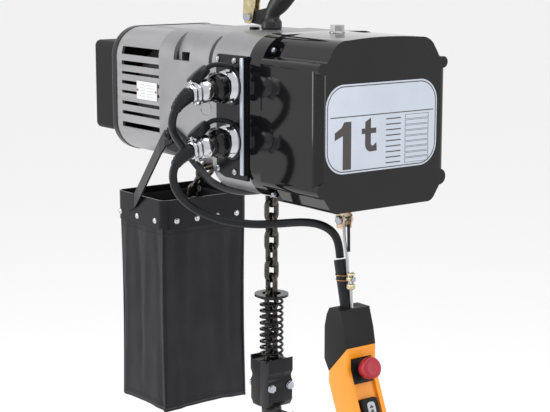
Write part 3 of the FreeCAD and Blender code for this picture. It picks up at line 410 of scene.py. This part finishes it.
def rounded(obj, width, angle=32, segments=3):
    bevel = obj.modifiers.new("round", "BEVEL")
    bevel.width = mm(width)
    bevel.segments = segments
    bevel.limit_method = "ANGLE"
    bevel.angle_limit = math.radians(angle)
    bevel.harden_normals = False
    return baked(obj)


def clean_copy(node, name):
    """A copy of a CAD node with its flat faces whole again, ready for bevels."""
    mesh = NODES[node].data.copy()
    mesh.name = name
    bm = bmesh.new()
    bm.from_mesh(mesh)
    bmesh.ops.remove_doubles(bm, verts=bm.verts, dist=2e-6)
    bmesh.ops.dissolve_limit(bm, angle_limit=math.radians(1), verts=bm.verts, edges=bm.edges)
    bm.to_mesh(mesh)
    bm.free()
    return bpy.data.objects.new(name, mesh)


def turn_about(direction):
    return Vector((0, 0, 1)).rotation_difference(Vector(direction).normalized()).to_matrix().to_4x4()


def lathe(name, profile, foot, direction, finish, sides=64, flutes=0, flute_depth=0.0, fluted=(0, 0)):
    """Turn (distance, radius) points in millimetres about a line; part of it may be fluted."""
    verts, faces = [], []
    for along, radius in profile:
        for k in range(sides):
            angle = TAU * k / sides
            r = radius
            if flutes and fluted[0] <= along <= fluted[1]:
                r -= flute_depth * (0.5 + 0.5 * math.cos(flutes * angle))
            verts.append(Vector((mm(r) * math.cos(angle), mm(r) * math.sin(angle), mm(along))))
    for i in range(len(profile) - 1):
        for k in range(sides):
            a, b = i * sides + k, i * sides + (k + 1) % sides
            faces.append((a, b, b + sides, a + sides))
    faces.append(tuple(range(sides)))
    faces.append(tuple(len(verts) - sides + k for k in range(sides)))
    place = Matrix.Translation(at(*foot)) @ turn_about(direction)
    made = new_mesh(name, [place @ v for v in verts], faces)
    for polygon in made.data.polygons:
        if len(polygon.vertices) > 4:
            polygon.use_smooth = False
    made.data.set_sharp_from_angle(angle=math.radians(32))
    return paint(made, finish)


def box(name, low, high, finish, width=0.6, frame_of=None):
    """A box between two corners in millimetres with rounded edges."""
    verts = [Vector((x, y, z)) for x in (low[0], high[0]) for y in (low[1], high[1])
             for z in (low[2], high[2])]
    faces = [(0, 1, 3, 2), (4, 6, 7, 5), (0, 4, 5, 1), (2, 3, 7, 6), (0, 2, 6, 4), (1, 5, 7, 3)]
    if frame_of is None:
        verts = [at(*v) for v in verts]
    else:
        verts = [frame_of @ (v / 1000) for v in verts]
    made = new_mesh(name, verts, faces, smooth=True)
    made = rounded(made, width)
    made.data.set_sharp_from_angle(angle=math.radians(50))
    return paint(made, finish)


def flat_shape(name, outline, thick, frame_of, finish, width=0.0):
    """A thin plate with the outline (u, v) in millimetres, standing on a plane's frame."""
    count = len(outline)
    verts = [frame_of @ Vector((mm(u), mm(v), 0)) for u, v in outline]
    verts += [frame_of @ Vector((mm(u), mm(v), mm(thick))) for u, v in outline]
    faces = [tuple(reversed(range(count))), tuple(range(count, 2 * count))]
    faces += [(k, (k + 1) % count, count + (k + 1) % count, count + k) for k in range(count)]
    made = new_mesh(name, verts, faces, smooth=False)
    if width:
        made = rounded(made, width, angle=50, segments=2)
    return paint(made, finish)


def plane_frame(origin, right, up):
    """A frame whose u runs right, v runs up and whose third axis stands out of the plane."""
    right, up = Vector(right).normalized(), Vector(up).normalized()
    out = right.cross(up)
    matrix = Matrix((right, up, out)).transposed().to_4x4()
    return Matrix.Translation(at(*origin)) @ matrix


def arc_points(cu, cv, radius, first, last, steps=8):
    return [(cu + radius * math.cos(math.radians(first + (last - first) * k / steps)),
             cv + radius * math.sin(math.radians(first + (last - first) * k / steps)))
             for k in range(steps + 1)]


def round_rect(u0, v0, u1, v1, r, steps=8):
    return (arc_points(u1 - r, v0 + r, r, -90, 0, steps) + arc_points(u1 - r, v1 - r, r, 0, 90, steps)
            + arc_points(u0 + r, v1 - r, r, 90, 180, steps) + arc_points(u0 + r, v0 + r, r, 180, 270, steps))


# ---------------------------------------------------------------- fasteners

def pan_screw(name, seat, direction, radius, height, finish, cross=True):
    """A pan head with a dark cross on top: raised ink boxes stand in for the cross recess as painted shade.
    """
    profile = [(0, radius), (height * 0.35, radius), (height * 0.7, radius * 0.86),
               (height * 0.93, radius * 0.55), (height, radius * 0.2)]
    head = lathe(name, profile, seat, direction, finish, sides=32)
    if not cross:
        return head
    place = Matrix.Translation(at(*seat)) @ turn_about(direction)
    # The recess is not cut: dark ink boxes in a cross give its painted shade.
    recess_shades = []
    for turn in (0.4, 0.4 + math.pi / 2):
        recess_shade = box("recess_shade", (-radius * 0.55, -radius * 0.12, height * 0.62),
                  (radius * 0.55, radius * 0.12, height * 1.15),
                  INK, 0.05, place @ Matrix.Rotation(turn, 4, "Z"))
        recess_shades.append(recess_shade)
    return join(name, [head] + recess_shades)


def hex_head(name, seat, direction, across, height, finish, washer=0.0):
    corner = across / math.sqrt(3)
    place = Matrix.Translation(at(*seat)) @ turn_about(direction)
    outline = [(corner * math.cos(TAU * k / 6), corner * math.sin(TAU * k / 6)) for k in range(6)]
    head = flat_shape("head", outline, height, place, finish, 0.5)
    parts = [head]
    if washer:
        parts.append(lathe("washer", [(0, washer), (1.2, washer), (2.4, washer * 0.8)], seat, direction,
                           finish, 40))
    return join(name, parts)


def make_fasteners():
    screws = []
    for x, z in ((24, 215), (61, 215), (24, 74), (61, 73)):
        screws.append(pan_screw("s", (x, -104, z), (0, -1, 0), 4.2, 2.8, ZINC))
    link(join("plate_screws", screws), "housing", "housing_fasteners", slot="zinc")
    screws = []
    for y, z in ((-84, 230), (84, 230), (-83.6, 50), (83.6, 50)):
        screws.append(pan_screw("s", (116, y, z), (1, 0, 0), 4.2, 4, ZINC))
    link(join("cover_screws", screws), "housing", slot="zinc")
    link(hex_head("cover_bolt", (138, 0, 250.2), (0, 0, 1), 16, 10, STEEL, washer=10), "housing", slot="zinc")
    # The bead's light silver colour is a painted highlight, standing in for the light along the black rib.
    bead = box("plate_bead_painted_highlight", (77, -108.4, 71), (83.6, -105, 220), PLATE, 1.5)
    link(bead, "housing", slot="zinc")
    cap = lathe("top_plug", [(0, 7), (2.6, 7), (3.6, 6)], (-38, 0, 246), (0, 0, 1), SATIN)
    link(cap, "housing", slot="black_satin")
    bolts = []
    for side in (-1, 1):
        bolts.append(pan_screw("s", (-90, side * 108.2, 105), (0, side, 0), 7, 4, SATIN))
        bolts.append(pan_screw("s", (-60, side * 104.6, 96), (0, side, 0), 5.6, 3.6, ZINC))
    link(join("bracket_screws", bolts), "housing", slot="zinc")
    nuts = []
    for side in (-1, 1):
        for end in (-1, 1):
            nuts.append(hex_head("n", (end * 20.5, side * 15.6, -243), (end, 0, 0), 10, 4, ZINC, washer=6))
    link(join("block_nuts", nuts), "hook_block", "block_bolts", slot="zinc")


def make_spring():
    """The buffer spring, a copy of the CAD spring on the hook block."""
    spring = bpy.data.objects.new("buffer_coil", NODES["buffer_spring"].data.copy())
    link(paint(spring, SATIN), "hook_block", "buffer_spring", slot="spring")
    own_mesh(spring)


# ---------------------------------------------------------------- plates

def stroke(u0, v0, u1, v1):
    return [(u0, v0), (u1, v0), (u1, v1), (u0, v1)]


def make_name_plate():
    """The foil plate on the cover: a capacity mark, a rule and a blank table."""
    face = plane_frame((230, 0, 0), (0, 1, 0), (0, 0, 1))
    parts = [flat_shape("plate", round_rect(-93, 88, 86, 196, 28, 14), 1.0, face, PLATE, 0.3)]
    ink = face @ Matrix.Translation((0, 0, mm(1.0)))
    edge = []
    outer, inner = round_rect(-91, 90, 84, 194, 26.5, 12), round_rect(-89.8, 91.2, 82.8, 192.8, 25.3, 12)
    for k in range(len(outer)):
        n = (k + 1) % len(outer)
        edge.append(flat_shape("edge", [outer[k], outer[n], inner[n], inner[k]], 0.12, ink, INK))
    parts += edge
    one = [(-66.5, 93), (-53.5, 93), (-53.5, 151), (-64.5, 151), (-68.5, 144.5), (-79, 138.5), (-79, 129.5),
           (-66.5, 134.5)]
    parts.append(flat_shape("one", one, 0.15, ink, INK))
    letter = ([(-31.5, 141), (-31.5, 149), (-22.5, 153.5), (-22.5, 141), (-14, 141), (-14, 134.5),
               (-22.5, 134.5), (-22.5, 122.5)] + arc_points(-19, 122.5, 3.5, 180, 270, 4)
              + [(-13.5, 123), (-12.8, 112.6)] + arc_points(-22, 121.5, 9.5, 285, 180, 6)
              + [(-31.5, 134.5), (-37, 134.5), (-37, 141)])
    parts.append(flat_shape("letter", letter, 0.15, ink, INK))
    parts.append(flat_shape("rule", stroke(-86, 156.4, 80, 157.6), 0.12, ink, INK))
    for row in range(9):
        top = 153.5 - 6.8 * row
        parts.append(flat_shape("line", stroke(2, top - 4.0, 26, top - 2.6), 0.1, ink, INK))
        frame_edges = (stroke(33, top - 5.8, 72, top - 5.3), stroke(33, top - 0.5, 72, top),
                       stroke(33, top - 5.8, 33.6, top), stroke(71.4, top - 5.8, 72, top))
        for edge_outline in frame_edges:
            parts.append(flat_shape("cell", edge_outline, 0.1, ink, INK))
    link(join("name_plate", parts), "housing", "nameplates", slot="label")


def make_rating_plate():
    face = plane_frame((0, -97.2, 0), (1, 0, 0), (0, 0, 1))
    parts = [flat_shape("plate", stroke(-184, 146, -132, 171), 1.2, face, WHITE, 0.2)]
    ink = face @ Matrix.Translation((0, 0, mm(1.2)))
    for row in range(5):
        for u0, u1 in ((-176, -162), (-158, -140)):
            parts.append(flat_shape("line", stroke(u0, 166 - 4 * row, u1, 166.6 - 4 * row), 0.08, ink,
                                    GREY_MARK))
    for u in (-181.5, -134.5):
        parts.append(lathe("rivet", [(0, 1.7), (0.6, 1.5), (1.0, 0.6)], (u, -98.4, 158.5), (0, -1, 0), RED,
                           20))
    link(join("rating_plate", parts), "housing", slot="label")


# ---------------------------------------------------------------- cable sockets and plugs

DROOP = (0, -math.cos(math.radians(7)), -math.sin(math.radians(7)))


def make_socket(index, z):
    flange = lathe("flange", [(0, 24), (3.4, 24), (4.6, 23), (4.8, 12)], (58, -104, z), (0, -1, 0), RUBBER)
    body = lathe("body", [(4.5, 21), (5.5, 21.6), (9, 21.6), (9.6, 20), (15, 20), (15.5, 14)], (58, -104, z),
                 (0, -1, 0), CHROME)
    pieces = [flange, body]
    for k in range(4):
        angle = math.radians(90 * k + 45)
        pieces.append(pan_screw("s", (58 + 19 * math.cos(angle), -109, z + 19 * math.sin(angle)),
                                (0, -1, 0), 2.4, 1.6, ZINC))
    link(join(f"socket_{index}", pieces), "housing", *(["receptacles"] if index == 1 else []), slot="chrome")
    start = Vector((58, -119.2, z))
    droop = Vector(DROOP)
    ring = [(2, 17), (2.4, 18.4), (4, 19), (12, 19), (13.4, 18.4), (13.8, 16.5), (15, 16.5), (15.4, 15.4),
            (17.5, 14.6)]
    parts = [lathe("ring", ring, start, droop, GLOSS, 72, flutes=12, flute_depth=0.6, fluted=(4, 12)),
             lathe("neck", [(17, 13.8), (21, 13.8), (21, 13.2)], start, droop, PLASTIC),
             lathe("barrel", [(20.5, 13), (21, 15), (34, 15), (35, 14.2), (37, 14.2), (37.4, 12), (40, 12)],
                   start, droop, CHROME, 48),
             lathe("nut", [(39.5, 11), (40, 13.8), (44, 13.8), (44.6, 11.2), (45.5, 11.2), (46, 12.6),
                           (50, 12.6), (51, 11.2), (52, 9)],
                   start, droop, CHROME, 48, flutes=6, flute_depth=0.7, fluted=(39.9, 50))]
    side = Matrix.Translation(at(*start)) @ turn_about(droop)
    for turn in (0.6, 2.2, 3.9, 5.3):
        spin = side @ Matrix.Rotation(turn, 4, "Z")
        parts.append(box("lug", (15.5, -3.4, 3), (21.2, 3.4, 12), GLOSS, 1.2, spin))
    for turn in (-1.2, 1.9):
        spin = side @ Matrix.Rotation(turn, 4, "Z")
        parts.append(box("clamp", (10, -2.6, 40), (15.4, 2.6, 48), CHROME, 0.9, spin))
        parts.append(box("clamp_screw", (14, -1.5, 42), (17.4, 1.5, 45.2), ZINC, 0.8, spin))
    link(join(f"cable_plug_{index}", parts), "housing", *(["cable_plugs"] if index == 1 else []),
         slot="chrome")
    make_boot(index, POWER_ROUTE if index == 1 else CONTROL_ROUTE)
    make_dust_cap(index, z)


def make_boot(index, route):
    """The tapered rubber boot that follows the cable out of its plug."""
    places = line_points(route, 16)
    run, kept, radii = 0.0, [], []
    first = places[0] - (places[1] - places[0]).normalized() * mm(2.5)
    kept.append(first)
    radii.append(mm(10.2))
    for a, b in zip(places, places[1:]):
        taper = run / 0.027
        if taper > 1:
            break
        rib = 0.35 * math.sin(run * 1400)
        kept.append(a)
        radii.append(mm(10.2 - 3.9 * taper + rib))
        run += (b - a).length
    boot = tube_mesh(f"cable_boot_{index}", kept, radii, 28)
    link(paint(boot, RUBBER), "housing", *(["plug_boots"] if index == 1 else []), slot="rubber")


def make_dust_cap(index, z):
    """The rubber cap folded back over the plug on its strap."""
    cap = lathe("cap", [(-4, 13), (-3, 15.5), (7, 15.5), (8.5, 13.5), (8.8, 2)], (50, -150, z + 13),
                (-0.35, -0.55, 0.75), RUBBER, 48)
    strap = tube_mesh("strap", line_points([(64, -110, z + 24), (62, -118, z + 27), (58, -128, z + 29),
                                            (54, -138, z + 27), (51, -146, z + 20)]),
                      mm(3.2), 12)
    paint(strap, RUBBER)
    link(join(f"dust_cap_{index}", [cap, strap]), "housing", slot="rubber")


def make_key_ring():
    loops = []
    for offset, lean in ((0, 0.15), (1.6, -0.2)):
        places = []
        for k in range(33):
            angle = TAU * k / 32
            places.append(at(58 + 6.2 * math.sin(angle) * math.cos(lean) + offset,
                             -147 + 6.2 * math.sin(angle) * 0.6, 158 - 9 * math.cos(angle)))
        loops.append(paint(tube_mesh("loop", places, mm(0.55), 8), ZINC))
    link(join("key_ring", loops), "housing", slot="zinc")


# ---------------------------------------------------------------- chain bag

def bag_shape(u, height):
    """How far the cloth leans out (+) or in (-) of its frame at u around and height 0 (hem) to 1 (foot)."""
    fade = min(1.0, height * 5.0) * (1.0 - 0.45 * height ** 6)
    creases = 0.0
    for side, start, drift, wide, deep in FOLDS:
        centre = side + start + drift * height
        distance = (u - centre + 2) % 4 - 2
        creases += deep * math.exp(-(distance / wide) ** 2)
    soft = 2.2 * noise.noise(Vector((2.2 * u, 3.0 * height, 4.0)))
    soft += 1.0 * noise.noise(Vector((7 * u, 8 * height, 1.0)))
    return fade * (creases + soft)


# Each fold: side of the bag, start across it, drift as it falls, width, depth in millimetres.
FOLDS = [(0, 0.18, -0.1, 0.05, 2.4), (0, 0.36, 0.12, 0.06, -2.6), (0, 0.62, -0.16, 0.07, 2.2),
         (0, 0.82, 0.08, 0.05, -2.0), (1, 0.14, 0.1, 0.05, -2.4), (1, 0.3, -0.12, 0.06, 2.6),
         (1, 0.5, 0.2, 0.07, -2.2), (1, 0.7, 0.1, 0.05, 2.4), (1, 0.86, -0.1, 0.05, -2.6),
         (2, 0.3, 0.1, 0.07, 2.4), (2, 0.7, -0.1, 0.07, -2.4), (3, 0.25, 0.1, 0.06, -2.2),
         (3, 0.6, -0.1, 0.07, 2.6)]
BAG = dict(x0=-281.2, x1=-160.8, y0=-72.2, y1=72.2, top=-10.0, low=-314.0)
HEM_HEIGHT = 0.985


def bag_point(u, height, inset=0.0):
    """A point on the bag: u in 0..4 runs round its four sides from the front left corner."""
    x0, x1, y0, y1 = BAG["x0"] + inset, BAG["x1"] - inset, BAG["y0"] + inset, BAG["y1"] - inset
    side, along = int(u) % 4, u - int(u)
    corners = ((x0, y0), (x1, y0), (x1, y1), (x0, y1))
    a, b = corners[side], corners[(side + 1) % 4]
    x, y = a[0] + (b[0] - a[0]) * along, a[1] + (b[1] - a[1]) * along
    out = ((0, -1), (1, 0), (0, 1), (-1, 0))[side]
    taper = min(along, 1 - along)
    hold = min(1.0, taper / 0.06)
    lean = bag_shape(u, height) * hold
    looseness = 0.4 if side % 2 == 0 else 0.8
    sag = -3.0 * math.sin(math.pi * along) * math.sin(math.pi * min(1.0, height * 1.1)) * looseness
    waist = 2.5 * math.sin(math.pi * height) * (1 - hold * 0.4)
    round_off = 3.2 * (1 - min(1.0, taper / 0.045)) ** 2
    push = lean + sag - waist - round_off
    z = BAG["top"] + (BAG["low"] - BAG["top"]) * height
    z += 2.5 * math.sin(math.pi * along) * height ** 8
    return (x + out[0] * push, y + out[1] * push, z)


def make_bag():
    rows, around = 120, 240
    verts, faces = [], []
    for i in range(rows + 1):
        height = i / rows
        for k in range(around):
            verts.append(at(*bag_point(4 * k / around, height)))
    for i in range(rows):
        for k in range(around):
            a, b = i * around + k, i * around + (k + 1) % around
            faces.append((a, b, b + around, a + around))
    base = rows * around
    centre = sum((verts[base + k] for k in range(around)), Vector()) / around
    previous = base
    for shrink in (0.8, 0.5, 0.2):
        ring_start = len(verts)
        for k in range(around):
            v = centre + (verts[base + k] - centre) * shrink
            v.z = centre.z - mm(1.2) * (1 - shrink)
            verts.append(v)
        for k in range(around):
            n = (k + 1) % around
            faces.append((previous + k, previous + n, ring_start + n, ring_start + k))
        previous = ring_start
    faces.append(tuple(previous + k for k in range(around)))
    cloth = new_mesh("bag_cloth", verts, faces)
    shell = cloth.modifiers.new("cloth_thickness", "SOLIDIFY")
    shell.thickness = mm(1.0)
    shell.offset = -1
    cloth = paint(baked(cloth), CLOTH)
    for polygon in cloth.data.polygons:
        polygon.use_smooth = True
    link(cloth, "housing", "bag_fabric", slot="fabric")
    pipes = []
    for corner in range(4):
        places = []
        for i in range(40):
            x, y, z = bag_point(corner + 0.001, 0.10 + 0.9 * i / 39)
            away = ((-1, -1), (1, -1), (1, 1), (-1, 1))[corner]
            places.append(at(x + away[0] * 0.3, y + away[1] * 0.3, z))
        pipes.append(paint(tube_mesh("pipe", places, mm(1.3), 10), THREAD))
    places = [at(*bag_point(4 * k / 160, HEM_HEIGHT)) for k in range(161)]
    pipes.append(paint(tube_mesh("hem", places, mm(1.1), 8), THREAD))
    link(join("bag_piping", pipes), "housing", slot="fabric")
    make_stitches()


def make_stitches():
    """Lines of stitching under the rim and above the foot."""
    parts = []
    for height in (0.135, 0.965):
        for k in range(150):
            u = 4 * (k + 0.15) / 150
            a, b = Vector(bag_point(u, height)), Vector(bag_point(u + 0.014, height))
            out = ((0, -1), (1, 0), (0, 1), (-1, 0))[int(u) % 4]
            lift = Vector((out[0], out[1], 0)) * 0.35
            parts.append(paint(tube_mesh("s", [at(*(a + lift)), at(*(b + lift))], mm(0.42), 6), THREAD))
    link(join("bag_stitches", parts), "housing", slot="fabric")


def make_rivets():
    parts = []
    for side in (-1, 1):
        for x in (-274, -227, -179):
            parts.append(((x, side * 75, -31), (0, side, 0)))
        face = -158 if side > 0 else -284
        for y in (-51, -16, 19, 54):
            parts.append(((face, y, -31), (side, 0, 0)))
    dome = [(0, 4.6), (0.5, 4.5), (1.3, 3.8), (1.9, 2.6), (2.2, 1.0)]
    made = [lathe("rivet", dome, seat, direction, CHROME, 24) for seat, direction in parts]
    link(join("rim_rivets", made), "housing", "bag_rivets", slot="zinc")


# ---------------------------------------------------------------- pendant

TILT = math.atan2(44, 109)
ALONG = Vector((math.sin(TILT), 0, -math.cos(TILT)))
OUT = Vector((math.cos(TILT), 0, math.sin(TILT)))
STOP = Vector((238.1, CABLE_Y, -155)) + ALONG * 4


def button_frame(distance, height=0.0):
    """A frame on the pendant's face: u to the right seen from the front, v up, out of the face."""
    origin = STOP + ALONG * distance + OUT * height
    return plane_frame(tuple(origin), (0, 1, 0), tuple(-ALONG))


def make_pendant():
    for node, finish, width in (("pendant_grip", AMBER, 1.6), ("pendant_hood", PLASTIC, 1.2)):
        copy = rounded(clean_copy(node, f"{node}_shell"), width, angle=28, segments=3)
        paint(copy, finish)
        copy.data.set_sharp_from_angle(angle=math.radians(60))
        link(copy, "pendant", node, slot="amber" if finish is AMBER else "black_plastic")
    stop = [(6, 7), (7, 9.6), (8, 11.5), (10, 12.6), (17, 13.9), (21, 13.6), (23, 12.4), (24, 10.4),
            (24.4, 6), (24.5, 1)]
    head = lathe("head", stop, tuple(STOP), tuple(OUT), RED, 72, flutes=18, flute_depth=0.5, fluted=(8.5, 20))
    stem = lathe("stem", [(-12, 6.9), (6.5, 6.9)], tuple(STOP), tuple(OUT), PLASTIC)
    link(join("emergency_stop", [head, stem]), "estop_button", "estop_button", slot="red")
    for node, distance, up in (("up_button", 48, True), ("down_button", 88, False)):
        face = button_frame(distance, 0)
        key = flat_shape("key", round_rect(-12.6, -12.6, 12.6, 12.6, 3, 6), 11.5,
                         face @ Matrix.Translation((0, 0, mm(-10))), PLASTIC, 1.4)
        top = face @ Matrix.Translation((0, 0, mm(1.5)))
        parts = [key, flat_shape("pad", round_rect(-6, -8, 6, 8, 4, 6), 0.6, top, GREY_MARK, 0.2)]
        mark = top @ Matrix.Translation((0, 0, mm(0.6)))
        for offset in (0.6, -4.6):
            arrow = [(-3.2, offset), (0, offset + 3.6), (3.2, offset), (1.2, offset), (1.2, offset - 0.6),
                     (-1.2, offset - 0.6), (-1.2, offset)]
            if not up:
                arrow = [(u, -v) for u, v in arrow]
            parts.append(flat_shape("arrow", arrow, 0.25, mark, INK))
        link(join(f"{node}_key", parts), node, node, slot="black_plastic")


def make_rope_clips():
    """The gold clip under the cover, and the lower one tied to the sleeve."""
    parts = []
    for side in (-1, 1):
        y = CABLE_Y + side * 6.5
        outline = arc_points(0, 0, 8.2, -40, 220, 16) + [(-5.5, -12), (5.5, -12)]
        plate = flat_shape("plate", outline, 2.4, plane_frame((203, y + 1.2, 27), (1, 0, 0), (0, 0, 1)),
                           PINK_GOLD, 0.5)
        parts.append(plate)
        parts.append(box("ear", (197, y - 1.3, 32), (209, y + 1.3, 40.8), PINK_GOLD, 0.5))
    parts.append(box("bridge", (196.5, CABLE_Y - 7.6, 38.6), (209.5, CABLE_Y + 7.6, 40.9), PINK_GOLD, 0.6))
    parts.append(hex_head("nut", (203, CABLE_Y - 8.6, 26), (0, -1, 0), 8, 2.6, ZINC, washer=5.6))
    parts.append(hex_head("nut", (203, CABLE_Y + 8.6, 26), (0, 1, 0), 8, 2.6, ZINC, washer=5.6))
    parts.append(lathe("pin", [(-9, 2.9), (9, 2.9)], (203, CABLE_Y, 26), (0, 1, 0), ZINC, 24))
    link(join("upper_clip", parts), "housing", "rope_eye", slot="zinc_gold")
    low = [box("body", (213.4, CABLE_Y - 4.6, -60), (220.6, CABLE_Y + 4.6, -53.6), GOLD, 1.0),
           box("saddle", (213.2, CABLE_Y - 5, -49.6), (221, CABLE_Y + 5, -44.5), GOLD, 1.0),
           box("top", (213.6, CABLE_Y - 4.6, -43), (220.4, CABLE_Y + 4.6, -39.6), GOLD, 1.0)]
    for y in (-3, 3):
        low.append(lathe("bolt", [(-22, 1.5), (0, 1.5)], (217, CABLE_Y + y, -39), (0, 0, 1), ZINC, 16))
    low.append(hex_head("n", (220.6, CABLE_Y, -47), (1, 0, 0), 6, 2.5, ZINC))
    link(join("lower_clip", low), "pendant", "rope_clip", slot="zinc_gold")
    ties = []
    for z in (-43.5, -49.5):
        places = []
        for k in range(41):
            angle = TAU * k / 40
            centre_x = 196 + 15 * (-26 - z) / 64
            reach = 8.6 + (6.0 * max(0.0, math.cos(angle)) ** 6)
            places.append(at(centre_x + reach * math.cos(angle), CABLE_Y + 8.6 * math.sin(angle),
                             z + 1.2 * math.sin(angle)))
        ties.append(paint(tube_mesh("tie", places, mm(0.5), 8), COPPER_WIRE))
    link(join("tie_wires", ties), "pendant", slot="zinc_gold")
    tail = tube_mesh("rope_tail", line_points([(209, CABLE_Y + 2, 20), (209.6, CABLE_Y + 2, 6),
                                               (210, CABLE_Y + 2, -14)]), mm(1.9), 12)
    link(paint(tail, RUBBER), "pendant", slot="steel")
    lower = tube_mesh("rope_lower", line_points([(217, CABLE_Y, -58), (218, CABLE_Y, -76),
                                                 (222, CABLE_Y, -92), (224, CABLE_Y, -104)]),
                      mm(1.9), 12)
    link(paint(lower, STEEL), "pendant", slot="steel")


# ---------------------------------------------------------------- hook block

def make_block():
    block = rounded(clean_copy("hook_block", "hook_block_shell"), 1.2, angle=30, segments=3)
    paint(block, SATIN)
    block.data.set_sharp_from_angle(angle=math.radians(60))
    link(block, "hook_block", "hook_block", slot="black_satin")


make_fasteners()
make_spring()
make_name_plate()
make_rating_plate()
make_socket(1, 183)
make_socket(2, 113)
make_key_ring()
make_bag()
make_rivets()
make_pendant()
make_rope_clips()
make_block()


# ---------------------------------------------------------------- stage and light

def make_stage():
    floor = new_mesh("floor", [(-30, -30, -1.15), (30, -30, -1.15), (30, 30, -1.15), (-30, 30, -1.15)],
                     [(0, 1, 2, 3)], False)
    SCENE.collection.objects.link(floor)
    pale = bpy.data.materials.new("pale_floor")
    pale.use_nodes = True
    pale.node_tree.nodes["Principled BSDF"].inputs["Base Color"].default_value = (0.93, 0.93, 0.93, 1)
    pale.node_tree.nodes["Principled BSDF"].inputs["Roughness"].default_value = 0.9
    paint(floor, pale)


def area_light(name, place, target, size, power, colour=(1, 1, 1)):
    data = bpy.data.lights.new(name, "AREA")
    data.shape = "RECTANGLE"
    data.size, data.size_y = size
    data.energy = power
    data.color = colour
    lamp = bpy.data.objects.new(name, data)
    lamp.location = place
    lamp.rotation_euler = (Vector(target) - Vector(place)).to_track_quat("-Z", "Y").to_euler()
    SCENE.collection.objects.link(lamp)


def make_light():
    world = bpy.data.worlds.new("studio")
    SCENE.world = world
    world.use_nodes = True
    world.node_tree.nodes["Background"].inputs["Color"].default_value = (1, 1, 1, 1)
    world.node_tree.nodes["Background"].inputs["Strength"].default_value = 0.95
    middle = (0, 0, -0.3)
    area_light("overhead", (0.3, 0.2, 1.5), middle, (1.6, 1.2), 14, (0.96, 0.95, 1.0))
    area_light("left", (-1.2, -2.0, 0.3), middle, (0.7, 1.8), 22)
    area_light("right", (2.2, 0.9, 0.2), middle, (0.6, 1.6), 9)


make_stage()
make_light()

bpy.context.view_layer.update()
